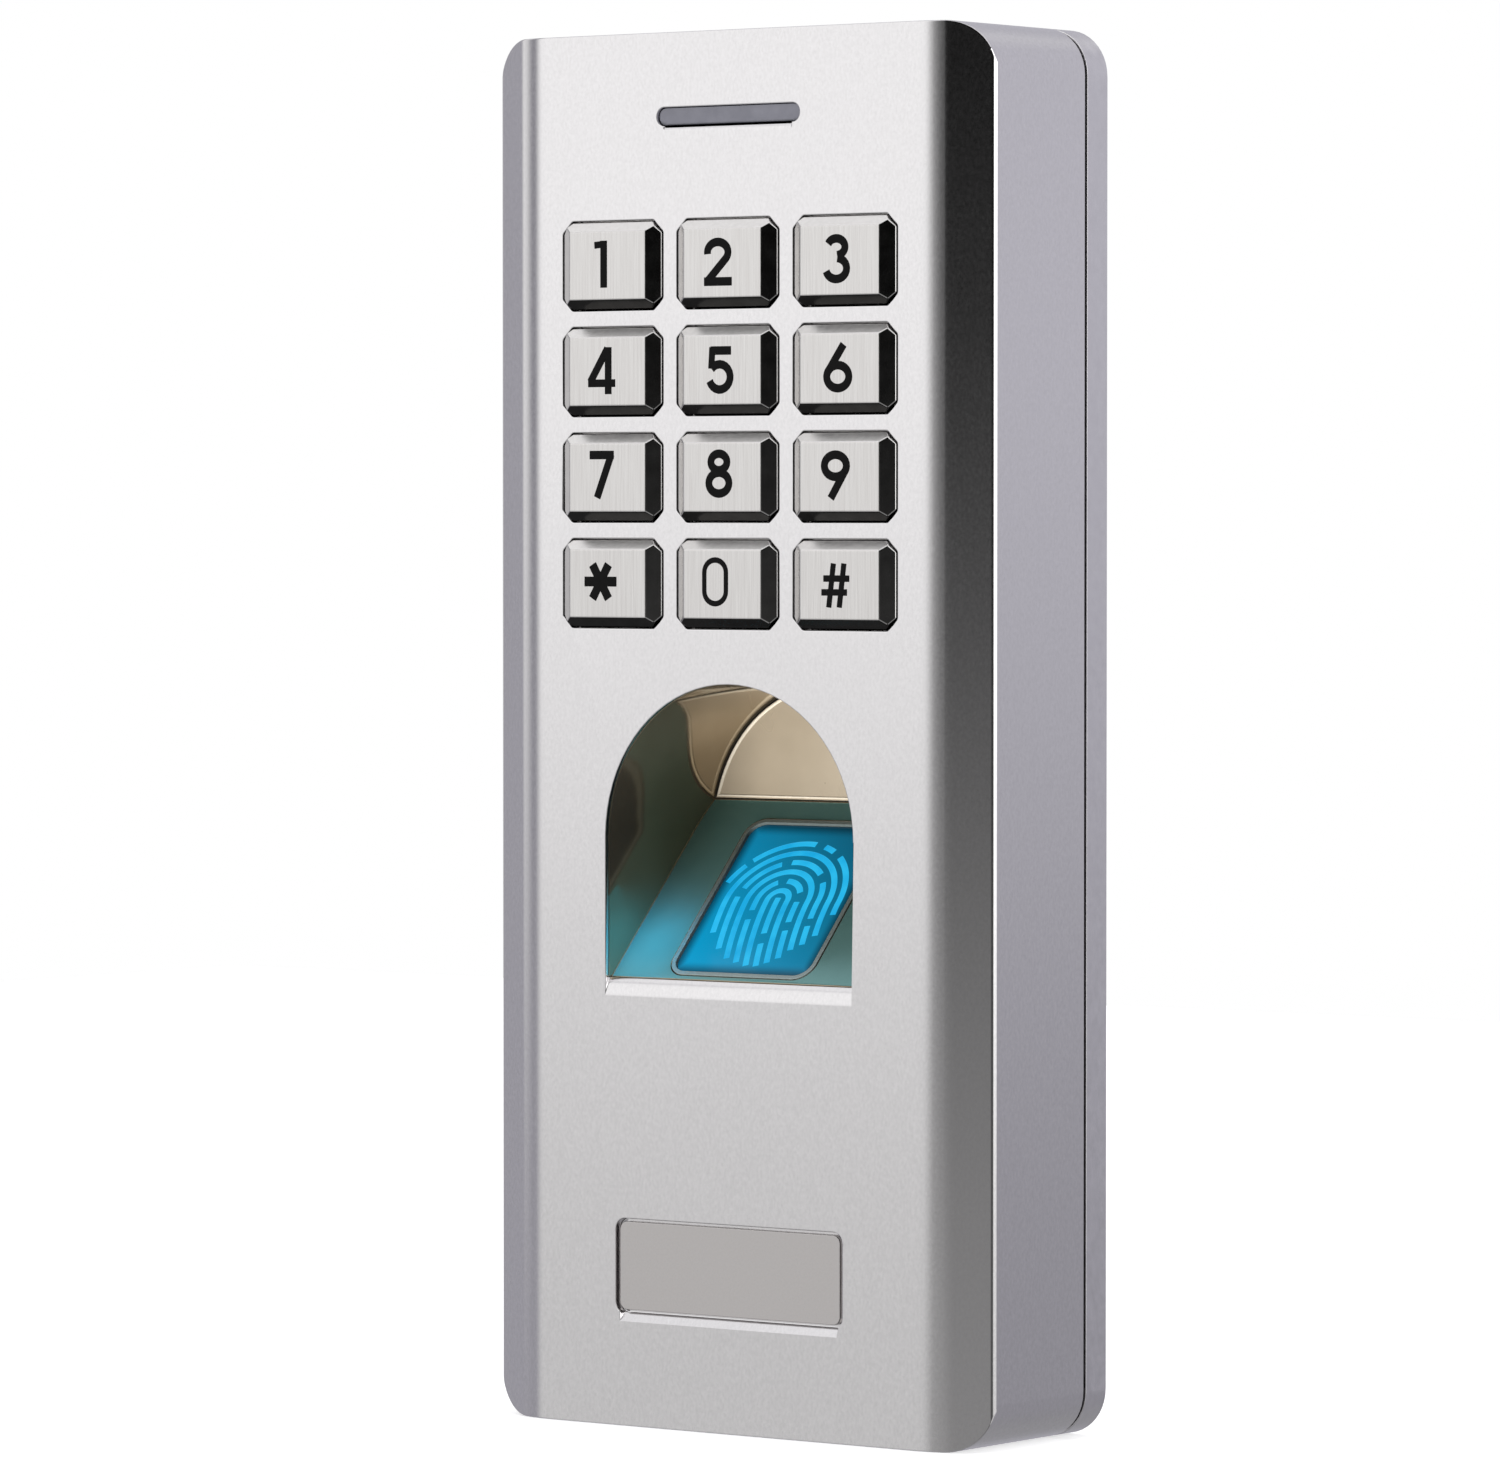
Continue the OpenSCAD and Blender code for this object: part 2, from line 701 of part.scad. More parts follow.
// ---- main board ----
module main_board() {
    color("darkgreen") difference() {
        slab(board_y, board_rear_y) {
            span_rect(board_x, -board_end_z, board_end_z);
            span_rect(tongue_x, 0, tongue_z);
        }
        slab(board_y - 1, board_rear_y + 1) span_rect(cut_x, cut_bottom_z, cut_top_z);
        at_board_posts() y_rod(board_screw_r + 0.15, board_y - 1, board_rear_y + 1);
    }
}

module board_screws() {
    color("silver") at_board_posts() y_screw(board_screw_r, board_rear_y, board_t + 4, 2.3, 1.6);
}

// A box standing on the back of the main board, centred on x and z
module on_board(x, z, w, h, depth) {
    translate([x, 0, z]) slab(board_rear_y, board_rear_y + depth) square([w, h], center = true);
}

module board_chips() {
    color("black") {
        on_board(-14, 14, 10, 10, 1.2);
        on_board(12, 14, 6, 8, 1);
        on_board(-23.4, -36, 5, 6, 1);
    }
}

module relay() { color("royalblue") on_board(-12, -54, 15, 10, 7.4); }

module buzzer() {
    color("black") translate([13, 0, -53.6]) difference() {
        y_rod(4.7, board_rear_y, board_rear_y + 5);
        y_rod(0.9, board_rear_y + 3.8, board_rear_y + 6);
    }
}

module capacitors() {
    can_h = 6.8;
    color("midnightblue") for (z = [-14, -21]) translate([-23.4, 0, z])
        y_rod(2.5, board_rear_y, board_rear_y + can_h);
}

module terminal_header() {
    pins = 10;
    pin_pitch = 2.54;
    color("limegreen") difference() {
        on_board(0, 51.5, pins * pin_pitch + 1.4, 5.4, 6.2);
        for (i = [0 : pins - 1]) translate([(i - (pins - 1) / 2) * pin_pitch, 0, 51.5])
            y_rod(0.9, board_rear_y + 2, board_rear_y + 7);
    }
}

module tamper_sensor() { color("wheat") translate(tamper_at) y_rod(2, board_rear_y, cover_y - 0.4); }

// ---- rear cover ----
module housing_gasket() {
    color("dimgray") slab(ledge_y, cover_y) difference() {
        body_outline(wall_t + 0.15);
        body_outline(wall_t + ledge_w - 0.2);
    }
}

module relief(grow) {
    translate([0, (relief_top_z + relief_bottom_z) / 2])
        rounded_rect(2 * (relief_x + grow), relief_top_z - relief_bottom_z + 2 * grow, 2 + grow);
}

module rear_cover() {
    color("gray") difference() {
        union() {
            slab(cover_y, shell_rear_y) body_outline(wall_t + cover_fit);
            slab(shell_rear_y - eps, shell_rear_y + relief_rise) relief(0);
        }
        slab(cover_y - 1, shell_rear_y + relief_rise - relief_wall) relief(-relief_wall);
        at_cover_posts() y_rod(cover_screw_r + 0.2, cover_y - 1, shell_rear_y + 1);
        translate([0, 0, cable_z]) y_rod(cover_cable_r, cover_y - 1, shell_rear_y + 1);
        slab(cover_y - 1, shell_rear_y + 1) {
            for (x = both_sides) translate([x * hook_x - hook_w / 2 - 0.3, hook_z - 3.4])
                square([hook_w + 0.6, 3.4 + hook_t + 0.2]);
            translate([-tab_w / 2 - 0.4, tab_z - 0.3]) square([tab_w + 0.8, tab_t + 0.8]);
        }
        translate(tamper_at) y_rod(1.5, cover_y - 1, shell_rear_y + 1);
    }
}

module cover_screws() {
    color("silver") at_cover_posts() y_screw(cover_screw_r, shell_rear_y, 8.5, 2.75, 1.6);
}

module cable_grommet() {
    color("black") translate([0, 0, cable_z]) difference() {
        union() {
            y_rod(cover_cable_r - 0.05, cover_y, shell_rear_y);
            y_rod(9.4, shell_rear_y, shell_rear_y + 1);
            y_rod(9, cover_y - 1, cover_y);
        }
        y_rod(grommet_bore_r, cover_y - 2, shell_rear_y + 2);
    }
}

// ---- wall plate ----
module plate_hook() {
    translate([-hook_w / 2, hook_lip_y, hook_z]) cube([hook_w, -hook_lip_y - floor_t + eps, hook_t]);
    translate([-hook_w / 2, hook_lip_y, hook_z]) cube([hook_w, hook_t, hook_lip_h]);
}

module mounting_plate() {
    color("darkgray") difference() {
        union() {
            slab(-floor_t, 0) body_outline(0);
            slab(-plate_d, -floor_t + eps) difference() {
                body_outline(0);
                body_outline(plate_rim_t);
            }
            for (x = both_sides) translate([x * hook_x, 0, 0]) plate_hook();
            translate([-tab_w / 2, tab_front_y, tab_z]) cube([tab_w, -tab_front_y - floor_t + eps, tab_t]);
        }
        for (z = both_sides) translate([0, 0, z * wall_screw_pitch / 2]) y_rod(wall_screw_r, -floor_t - 1, 1);
        translate([0, 0, cable_z]) y_rod(plate_cable_r, -floor_t - 1, 1);
        translate([0, security_y, tab_z - 1]) cylinder(r = security_r + 0.05, h = tab_t + 2);
    }
}

module security_screw() {
    color("silver") translate([0, security_y, -body_h / 2 + security_head_h]) mirror([0, 0, 1]) difference() {
        union() {
            translate([0, 0, -6.6]) cylinder(r = security_r, h = 6.6 + eps);
            cylinder(r = security_head_r, h = security_head_h);
        }
        translate([0, 0, 0.3]) cylinder(r = 1.5, h = 1, $fn = 6);
    }
}

// ---- assembly ----
front_shell();
finger_shroud();
sensor_bezel();
sensor_window();
sensor_prism();
sensor_housing();
sensor_lens();
sensor_board();
sensor_leds();
ribbon_connectors();
sensor_ribbon();
sensor_screws();
shroud_screws();
indicator_lens();
indicator_leds();
badge_adhesive();
badge_plate();
keypad_frame();
main_board();
switch_bodies();
board_chips();
relay();
buzzer();
capacitors();
terminal_header();
tamper_sensor();
board_screws();
housing_gasket();
rear_cover();
cover_screws();
cable_grommet();
mounting_plate();
security_screw();
for (i = [0 : 11]) keycap(i);
for (i = [0 : 11]) plunger(i);
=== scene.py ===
"""Finishes, legends and studio for a wall-mounted access terminal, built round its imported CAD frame.

Metres. The wall is the plane y = 0, the front faces -Y and +Z is up.
"""

import json
import math

import bpy
from bpy.props import FloatProperty, IntProperty, PointerProperty
from mathutils import Matrix, Vector

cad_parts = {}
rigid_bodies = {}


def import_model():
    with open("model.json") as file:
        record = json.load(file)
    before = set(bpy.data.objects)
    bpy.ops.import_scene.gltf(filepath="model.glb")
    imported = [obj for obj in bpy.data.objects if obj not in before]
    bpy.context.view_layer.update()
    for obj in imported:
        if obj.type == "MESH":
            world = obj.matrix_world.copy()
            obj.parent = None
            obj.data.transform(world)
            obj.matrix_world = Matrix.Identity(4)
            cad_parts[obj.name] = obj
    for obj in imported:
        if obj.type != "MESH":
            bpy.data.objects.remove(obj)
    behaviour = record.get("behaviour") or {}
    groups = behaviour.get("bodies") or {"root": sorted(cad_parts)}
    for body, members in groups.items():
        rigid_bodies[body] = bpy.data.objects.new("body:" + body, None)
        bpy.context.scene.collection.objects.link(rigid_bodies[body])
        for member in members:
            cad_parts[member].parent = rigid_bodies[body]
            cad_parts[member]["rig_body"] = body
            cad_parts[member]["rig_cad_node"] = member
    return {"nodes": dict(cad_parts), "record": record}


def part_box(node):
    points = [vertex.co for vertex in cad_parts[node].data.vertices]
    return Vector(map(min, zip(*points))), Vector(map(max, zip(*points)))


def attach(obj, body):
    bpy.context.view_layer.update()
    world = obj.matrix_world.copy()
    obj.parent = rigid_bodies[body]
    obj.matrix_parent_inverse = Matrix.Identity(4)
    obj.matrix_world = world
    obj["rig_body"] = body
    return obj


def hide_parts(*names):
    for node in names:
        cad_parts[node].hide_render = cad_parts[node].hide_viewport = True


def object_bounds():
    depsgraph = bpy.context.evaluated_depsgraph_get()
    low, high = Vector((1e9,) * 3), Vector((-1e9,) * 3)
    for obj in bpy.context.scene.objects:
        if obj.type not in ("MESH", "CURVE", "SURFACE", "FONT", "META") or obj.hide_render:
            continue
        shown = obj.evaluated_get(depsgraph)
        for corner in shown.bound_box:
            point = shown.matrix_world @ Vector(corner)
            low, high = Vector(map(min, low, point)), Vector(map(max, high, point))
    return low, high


bl_info = {
    "name": "Access Terminal",
    "version": (1, 0, 0),
    "blender": (4, 5, 0),
    "location": "3D View > Sidebar > Terminal",
    "description": "Finishes, key legends and studio for a wall-mounted access terminal",
    "category": "Object",
}

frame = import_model()
CAD_LOW, CAD_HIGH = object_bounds()

MM = 0.001
SLOT_OF = {part["node"]: part["material_slot"] for part in frame["record"]["subparts"]}
KEYS = ("1", "2", "3", "4", "5", "6", "7", "8", "9", "star", "0", "hash")

# The recess's back wall, in millimetres: how deep it stands, its arch and its foot
RECESS_BACK_Y = -4.3
RECESS_RADIUS = 16.25
RECESS_CENTRE_Z = -11.1
RECESS_FOOT_Z = -7.75

# The scanner window's own box gives its width, in metres
WINDOW_LOW, WINDOW_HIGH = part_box("sensor_window")
WINDOW_W = WINDOW_HIGH.x - WINDOW_LOW.x

# An upright face's axes: across it, up it and out of its front
FRONT_AXES = (Vector((1, 0, 0)), Vector((0, 0, 1)), Vector((0, -1, 0)))

# Meshes: points closer than these are merged, in millimetres
MERGE = 0.001
MERGE_INLAY = 0.0005
# Faces that turn less than this are one flat, in degrees
SAME_FLAT = 0.6
# Edges that turn more than these are rounded, on most pieces and on the keys
SHARP_EDGE = 40
SHARP_KEY_EDGE = 25
# Edges that turn less than these are shaded as curved, on the pieces and on the inlays
SMOOTH_BEND = 32
SMOOTH_INLAY_BEND = 50
# Flats closer than this lie in one plane, in millimetres
PLANE_STEP = 0.05
# A plane just behind the bends from the shell's front to its sides, in millimetres
SHELL_CUT_Y = -19.95

# A key's faces: the front's normal points this far forward, and the bevels' this far down or up; the lower
# bevels get painted shade and the upper bevels a painted highlight
KEY_FRONT = -0.97
KEY_LOWER_BEVEL = -0.3
KEY_UPPER_BEVEL = 0.5
# Places in a finished key's list of materials, after the brushed face's: the side bevels, the lower bevels
# with painted shade and the upper bevels with a painted highlight
KEY_SIDE_FINISH, KEY_LOWER_SHADE, KEY_UPPER_HIGHLIGHT = 1, 2, 3
# The same in the finished recess, after the plated walls': the back wall's paint and the ramp's painted blue
# glow
BACK_WALL_FINISH, RAMP_PAINTED_GLOW = 1, 2
# The recess's faces: the back wall's normal and distance in millimetres, and the ramp's normal, which picks
# the faces with the painted blue glow
BACK_WALL_FACING = -0.98
BACK_WALL_NEAR = 0.3
RAMP_FACING = 0.995

# Rounding of the fixed pieces' edges, in millimetres
EDGE = {
    "finger_shroud": 0.1,
    "sensor_bezel": 0.06,
    "sensor_window": 0.05,
    "indicator_lens": 0.08,
    "badge_plate": 0.1,
    "mounting_plate": 0.15,
}

# Grain: the part of the noise's range that its colours and roughness are spread over
GRAIN_LOW, GRAIN_HIGH = 0.25, 0.75
# The breadth of the patches that handling leaves, in millimetres
SMUDGE_SIZE = 18

# The scanner glass: where its light fades towards the rim and how much is left there, and how far
# its shade runs from corner to corner
RIM_START = 0.84
RIM_GLOW = 0.25
SLANT_REACH = 1.7

# Ridges: how far a break reaches, in millimetres, and the fewest points a ridge keeps
BREAK_REACH = 0.55
FEWEST_POINTS = 5
# A leg this long drifts this far to the right, and the more so the lower it is
LEG_LENGTH = 9.2
LEG_DRIFT = 1.9
LEG_CURVE = 1.6
# The ridge pattern stands this far left of the window's middle and out of its face, in millimetres
RIDGES_LEFT = 0.45
RIDGES_RISE = 0.04

# The camera, to the right of the front and a little above the middle, looking slightly down
CAMERA_PLACE = (0.49505, -0.68347, 0.02316)
CAMERA_TILT = 90 - 1.638
CAMERA_TURN = 36.698
SENSOR_WIDTH = 36

# The paper floor's size and how far it lies below the terminal, in metres
FLOOR_SIZE = 1.2
FLOOR_DROP = 0.05 * MM

# The studio's light: tints, what comes up from the floor and what comes from straight above
WHITE = (1, 1, 1)
COOL = (0.97, 0.96, 1.06)
FLOOR_BOUNCE = (0.27, 0.27, 0.28, 1)
CEILING = (0.88, 0.88, 0.89, 1)
# Heights between which one part of that light gives way to the next, in degrees
FLOOR_TO_LOWER = (-42, -18)
LOWER_TO_UPPER = (-7, 2)
UPPER_TO_CEILING = (30, 46)

# What the metal mirrors above and below eye level: degrees round from straight ahead of the front,
# brightness and tint
UPPER_ROOM = (
    (-180, 0.48, COOL), (-125, 0.5, COOL), (-104, 0.7, WHITE), (-90, 0.37, COOL), (-79, 0.37, COOL),
    (-74, 0.8, WHITE), (-67, 0.8, WHITE), (-62, 0.26, COOL), (-55, 0.26, COOL), (-47, 0.98, WHITE),
    (-22, 0.98, WHITE), (-9, 0.14, WHITE), (-1, 0.001, WHITE), (54, 0.001, WHITE), (68, 1.9, WHITE),
    (100, 1.9, WHITE), (122, 0.53, COOL), (160, 0.53, COOL), (180, 0.48, COOL),
)
LOWER_ROOM = (
    (-180, 0.4, COOL), (-125, 0.4, COOL), (-104, 0.5, WHITE), (-90, 0.36, COOL), (-55, 0.33, COOL),
    (-47, 0.57, WHITE), (-24, 0.54, WHITE), (-12, 0.34, WHITE), (15, 0.27, WHITE), (24, 0.2, WHITE),
    (36, 0.08, WHITE), (50, 0.05, WHITE), (68, 0.6, WHITE), (104, 0.6, WHITE), (122, 0.29, COOL),
    (160, 0.29, COOL), (180, 0.4, COOL),
)


# ---------------------------------------------------------------------------
# Small helpers


def linear(colour):
    """A #rrggbb colour as the linear RGBA that shader sockets take."""
    parts = [int(colour[i : i + 2], 16) / 255 for i in (1, 3, 5)]
    return [c / 12.92 if c <= 0.04045 else ((c + 0.055) / 1.055) ** 2.4 for c in parts] + [1.0]


def add(tree, kind, settings=None, values=None):
    """Adds a node. Settings are its properties; values go to its sockets.

    A value is a number, a colour or another node's output.
    """
    made = tree.nodes.new(kind)
    for name, value in (settings or {}).items():
        setattr(made, name, value)
    for socket, value in (values or {}).items():
        if isinstance(value, bpy.types.NodeSocket):
            tree.links.new(value, made.inputs[socket])
        else:
            made.inputs[socket].default_value = value
    return made


def colour_stops(ramp, stops):
    """Fills a colour ramp from (place, linear colour) pairs."""
    band = ramp.color_ramp
    while len(band.elements) < len(stops):
        band.elements.new(0.5)
    for element, (place, colour) in zip(band.elements, stops):
        element.position = place
        element.color = colour


def empty_material(name):
    """A material with no nodes but its output."""
    made = bpy.data.materials.new(name)
    made.use_nodes = True
    made.node_tree.nodes.clear()
    return made, made.node_tree, add(made.node_tree, "ShaderNodeOutputMaterial")


def pick(piece):
    """Leaves only this object selected and active."""
    bpy.ops.object.select_all(action="DESELECT")
    piece.select_set(True)
    bpy.context.view_layer.objects.active = piece


def dress(piece, material):
    """Gives the whole piece one material."""
    piece.data.materials.clear()
    piece.data.materials.append(material)


# ---------------------------------------------------------------------------
# Materials


def grained(
    name,
    low,
    high,
    grain,
    metallic=0.0,
    rough=(0.4, 0.5),
    bump=0.0,
    ior=1.5,
    coat=0.0,
    coat_rough=0.05,
    specular=0.5,
    smudge=0.0,
):
    """A surface whose colour, roughness and relief follow one grain, in millimetres along X, Y and Z.

    smudge adds broad patches where the surface is a little rougher, as handling leaves them.
    """
    made, tree, output = empty_material(name)
    place = add(tree, "ShaderNodeTexCoord").outputs["Object"]
    scaled = add(
        tree,
        "ShaderNodeMapping",
        values={"Vector": place, "Scale": [1 / (size * MM) for size in grain]},
    )
    noise = add(
        tree,
        "ShaderNodeTexNoise",
        values={"Vector": scaled.outputs["Vector"], "Scale": 1.0, "Detail": 3.0, "Roughness": 0.55},
    )
    grain_value = noise.outputs["Fac"]
    colour = add(tree, "ShaderNodeValToRGB", values={"Fac": grain_value})
    colour_stops(colour, [(GRAIN_LOW, linear(low)), (GRAIN_HIGH, linear(high))])
    roughness = add(
        tree,
        "ShaderNodeMapRange",
        values={
            "Value": grain_value,
            "From Min": GRAIN_LOW,
            "From Max": GRAIN_HIGH,
            "To Min": rough[0],
            "To Max": rough[1],
        },
    ).outputs["Result"]
    if smudge:
        patches = add(
            tree,
            "ShaderNodeTexNoise",
            values={"Vector": place, "Scale": 1 / (SMUDGE_SIZE * MM), "Detail": 2.0},
        )
        roughness = add(
            tree,
            "ShaderNodeMath",
            {"operation": "MULTIPLY_ADD"},
            {0: patches.outputs["Fac"], 1: smudge, 2: roughness},
        ).outputs["Value"]
    shader = add(
        tree,
        "ShaderNodeBsdfPrincipled",
        values={
            "Base Color": colour.outputs["Color"],
            "Roughness": roughness,
            "Metallic": metallic,
            "IOR": ior,
            "Coat Weight": coat,
            "Coat Roughness": coat_rough,
            "Specular IOR Level": specular,
        },
    )
    if bump:
        relief = add(
            tree, "ShaderNodeBump", values={"Height": grain_value, "Strength": 1.0, "Distance": bump * MM}
        )
        tree.links.new(relief.outputs["Normal"], shader.inputs["Normal"])
    tree.links.new(shader.outputs["BSDF"], output.inputs["Surface"])
    return made


def lacquered_zinc():
    # Die-cast zinc under satin silver lacquer: fine metal flake in the lacquer gives a soft sheen
    # with a faint speckle, drawn at 0.3 mm because real flake is too fine to show.
    return grained(
        "lacquered_zinc", "#eae8e9", "#f5f3f4", (0.3, 0.3, 0.45), metallic=1.0, rough=(0.12, 0.15),
        bump=0.0004, smudge=0.02,
    )


def polished_key_bevel():
    # The keys' bevels, polished and clear lacquered: sharp reflections, a faint waviness.
    return grained(
        "polished_key_bevel", "#d5d3d1", "#e2e0de", (1.6, 1.6, 1.6), metallic=1.0, rough=(0.08, 0.12),
        bump=0.001,
    )


def satin_key_bevel():
    # The keys' upper bevels, left satin so that they gather light instead of mirroring the key above, and
    # painted lighter than the other bevels: a painted highlight.
    return grained("satin_key_bevel", "#efedeb", "#fbf9f7", (0.5, 0.5, 0.5), metallic=1.0, rough=(0.3, 0.36))


def burnished_key_edge():
    # The keys' lower bevels, which sit in their own shade: painted dark as that shade, still glossy.
    return grained(
        "burnished_key_edge", "#2e2d2c", "#3b3a39", (1.6, 1.6, 1.6), metallic=1.0, rough=(0.12, 0.18),
        bump=0.001,
    )


def groove_painted_shade():
    # A black strip in the joint round the recess's back wall, painted as the groove's shade: dull and a
    # little uneven.
    return grained("groove_painted_shade", "#0b0a09", "#161412", (0.5, 0.5, 0.5), rough=(0.5, 0.6), bump=0.004)


def brushed_key_metal():
    # Zinc keys brushed up and down on the face, then clear lacquered: thin streaks along Z,
    # drawn at 0.18 mm wide because a real brush line is too fine to show.
    return grained(
        "brushed_key_metal", "#dedbd9", "#f1efed", (0.18, 0.18, 6.0), metallic=1.0, rough=(0.2, 0.26),
        bump=0.0004,
    )


def plated_recess():
    # ABS with a warm metal plate, polished: a mirror tinted beige-grey, with a slight orange peel.
    return grained(
        "plated_recess", "#a2957f", "#b2a590", (9.0, 9.0, 9.0), metallic=0.86, rough=(0.06, 0.1),
        bump=0.004,
    )


def painted_back_wall():
    # The recess's back wall, the same ABS in satin beige metallic paint: soft and light.
    return grained(
        "painted_back_wall", "#b8ad9b", "#c4b9a7", (7.0, 7.0, 7.0), metallic=0.3, rough=(0.26, 0.32),
    )


def bead_painted_highlight():
    # The bead round the back wall, painted light along it: a painted highlight.
    return grained("bead_painted_highlight", "#e6dfd0", "#f1ebdf", (3.0, 3.0, 3.0), metallic=0.1, rough=(0.24, 0.3))


def ramp_painted_glow():
    # The ramp's plate, painted teal: a painted glow of the scanner's blue, on top of what the spill lamp
    # really throws on it.
    return grained(
        "ramp_painted_glow", "#6a9a9a", "#78a7a7", (9.0, 9.0, 9.0), metallic=0.5, rough=(0.14, 0.2), bump=0.002,
    )


def polished_bezel():
    # Stainless steel ring, polished and lacquered: a thin cool line that gathers the light round it.
    return grained(
        "polished_bezel", "#95a4a6", "#a3b2b4", (0.4, 0.4, 0.4), metallic=0.6, rough=(0.2, 0.26),
    )


def satin_badge():
    # Aluminium label blank, bead blasted and clear anodised: even, dull grey with a very fine grit.
    return grained(
        "satin_badge", "#d9d5d3", "#e1dddb", (0.22, 0.22, 0.22), metallic=1.0, rough=(0.34, 0.42),
        bump=0.001,
    )


def powder_coated_plate():
    # Steel plate under satin silver powder coat: a soft orange peel about a millimetre across.
    return grained(
        "powder_coated_plate", "#eae8ea", "#f3f1f3", (1.1, 1.1, 1.1), metallic=1.0, rough=(0.2, 0.26),
        bump=0.0015,
    )


def smoked_lens():
    # Smoked polycarbonate light guide: grey and glossy, almost even in colour.
    return grained(
        "smoked_lens", "#5d5f6c", "#6c6e7b", (2.0, 2.0, 2.0), rough=(0.1, 0.16), ior=1.585, coat=0.4,
    )


# Slots whose surface is an even grain: name, low and high colour, grain in millimetres, then the rest
PLAIN_FINISHES = {
    # Black glass-filled nylon, moulded: dull, with a fine spark texture
    "inner_plastic": (
        "moulded_nylon", "#141415", "#222224", (0.3, 0.3, 0.3),
        dict(rough=(0.5, 0.62), bump=0.006),
    ),
    # Ivory nylon connector bodies, moulded: slightly waxy
    "connector_ivory": (
        "connector_nylon", "#d8cfb4", "#e6dfc9", (0.6, 0.6, 0.6),
        dict(rough=(0.38, 0.48), bump=0.003),
    ),
    # Polyester film over flat copper: smooth, with the conductors' lines along its run
    "ribbon_white": (
        "ribbon_film", "#c9ced6", "#eef0f3", (0.5, 40.0, 40.0),
        dict(rough=(0.3, 0.36), bump=0.01),
    ),
    # Zinc plated steel screws, turned: pale blue-grey, fine turning marks
    "screw_steel": (
        "zinc_plated_steel", "#a9acb1", "#c9cbce", (0.25, 0.25, 0.25),
        dict(metallic=1.0, rough=(0.22, 0.34), bump=0.002),
    ),
    # Polyethylene foam tape: black open cells
    "adhesive_foam": (
        "foam_tape", "#0c0c0d", "#1b1b1c", (0.25, 0.25, 0.25),
        dict(rough=(0.8, 0.92), bump=0.03),
    ),
    # Epoxy chip packages, moulded: matt charcoal
    "chip_black": (
        "chip_epoxy", "#17171a", "#26262a", (0.2, 0.2, 0.2),
        dict(rough=(0.55, 0.65), bump=0.003),
    ),
    # PBT relay case, moulded: blue with a soft gloss
    "relay_blue": (
        "relay_case", "#173a8c", "#1e4aa8", (0.5, 0.5, 0.5),
        dict(rough=(0.32, 0.42), bump=0.003),
    ),
    # PVC shrink sleeve: dark, glossy, tight
    "capacitor_sleeve": (
        "shrink_sleeve", "#15182c", "#1d2140", (1.5, 1.5, 3.0),
        dict(rough=(0.18, 0.26), bump=0.004),
    ),
    # Polyamide terminal block, moulded: leaf green
    "terminal_green": (
        "terminal_polyamide", "#2a7c40", "#34954d", (0.5, 0.5, 0.5),
        dict(rough=(0.4, 0.5), bump=0.004),
    ),
    # Coated ceramic disc: buff, slightly pitted
    "sensor_ceramic": (
        "coated_ceramic", "#bfa677", "#d4be93", (0.4, 0.4, 0.4),
        dict(rough=(0.4, 0.52), bump=0.008),
    ),
    # Silicone rubber, moulded: black, dull, faint bloom
    "gasket_rubber": (
        "silicone_rubber", "#111112", "#1f1f20", (0.8, 0.8, 0.8),
        dict(rough=(0.62, 0.76), bump=0.008),
    ),
    # Dark grey ABS with a fine spark-eroded texture
    "cover_plastic": (
        "spark_textured_abs", "#2b2b2e", "#3a3a3e", (0.35, 0.35, 0.35),
        dict(rough=(0.48, 0.6), bump=0.012),
    ),
    # Acetal plunger, moulded: off-white, slippery sheen
    "switch_plunger": (
        "acetal", "#cfcfc9", "#dcdcd7", (0.6, 0.6, 0.6),
        dict(rough=(0.24, 0.32), bump=0.002),
    ),
}


def scanner_glass(glow):
    """Coated glass lit blue from below: brightest at its lower left, and fading at its rim."""
    made, tree, output = empty_material("scanner_glass")
    across, along = scanner_plane(tree)
    slant = add(tree, "ShaderNodeMath", {"operation": "ADD"}, {0: across, 1: along}).outputs["Value"]
    spread = add(
        tree,
        "ShaderNodeMapRange",
        values={"Value": slant, "From Min": -SLANT_REACH, "From Max": SLANT_REACH},
    )
    shade = add(tree, "ShaderNodeValToRGB", values={"Fac": spread.outputs["Result"]})
    blues = ((0.0, "#06a6da"), (0.3, "#0b92c0"), (0.65, "#0d7ba0"), (1.0, "#0c5a76"))
    colour_stops(shade, [(place, linear(colour)) for place, colour in blues])
    sizes = [
        add(tree, "ShaderNodeMath", {"operation": "ABSOLUTE"}, {0: value}).outputs["Value"]
        for value in (across, along)
    ]
    rim = add(tree, "ShaderNodeMath", {"operation": "MAXIMUM"}, {0: sizes[0], 1: sizes[1]}).outputs["Value"]
    fall = add(
        tree,
        "ShaderNodeMapRange",
        {"interpolation_type": "SMOOTHSTEP"},
        {"Value": rim, "From Min": RIM_START, "From Max": 1.0, "To Min": glow, "To Max": RIM_GLOW * glow},
    )
    shader = add(
        tree,
        "ShaderNodeBsdfPrincipled",
        values={
            "Base Color": linear("#02141a"),
            "Roughness": 0.12,
            "IOR": 1.33,
            "Emission Color": shade.outputs["Color"],
            "Emission Strength": fall.outputs["Result"],
        },
    )
    tree.links.new(shader.outputs["BSDF"], output.inputs["Surface"])
    return made


def scanner_plane(tree):
    """Two sockets: how far across and how far up the scanner window, -1 and 1 at its edges."""
    middle = scanner_middle()
    turn = Matrix.Rotation(-scanner_slope(), 3, "X")
    place = add(
        tree,
        "ShaderNodeMapping",
        values={
            "Vector": add(tree, "ShaderNodeTexCoord").outputs["Object"],
            "Rotation": (-scanner_slope(), 0, 0),
            "Location": -(turn @ middle),
        },
    )
    split = add(tree, "ShaderNodeSeparateXYZ", values={"Vector": place.outputs["Vector"]})
    halves = (("X", WINDOW_W / 2), ("Y", scanner_length() / 2))
    return [
        add(
            tree, "ShaderNodeMath", {"operation": "DIVIDE"}, {0: split.outputs[axis], 1: half}
        ).outputs["Value"]
        for axis, half in halves
    ]


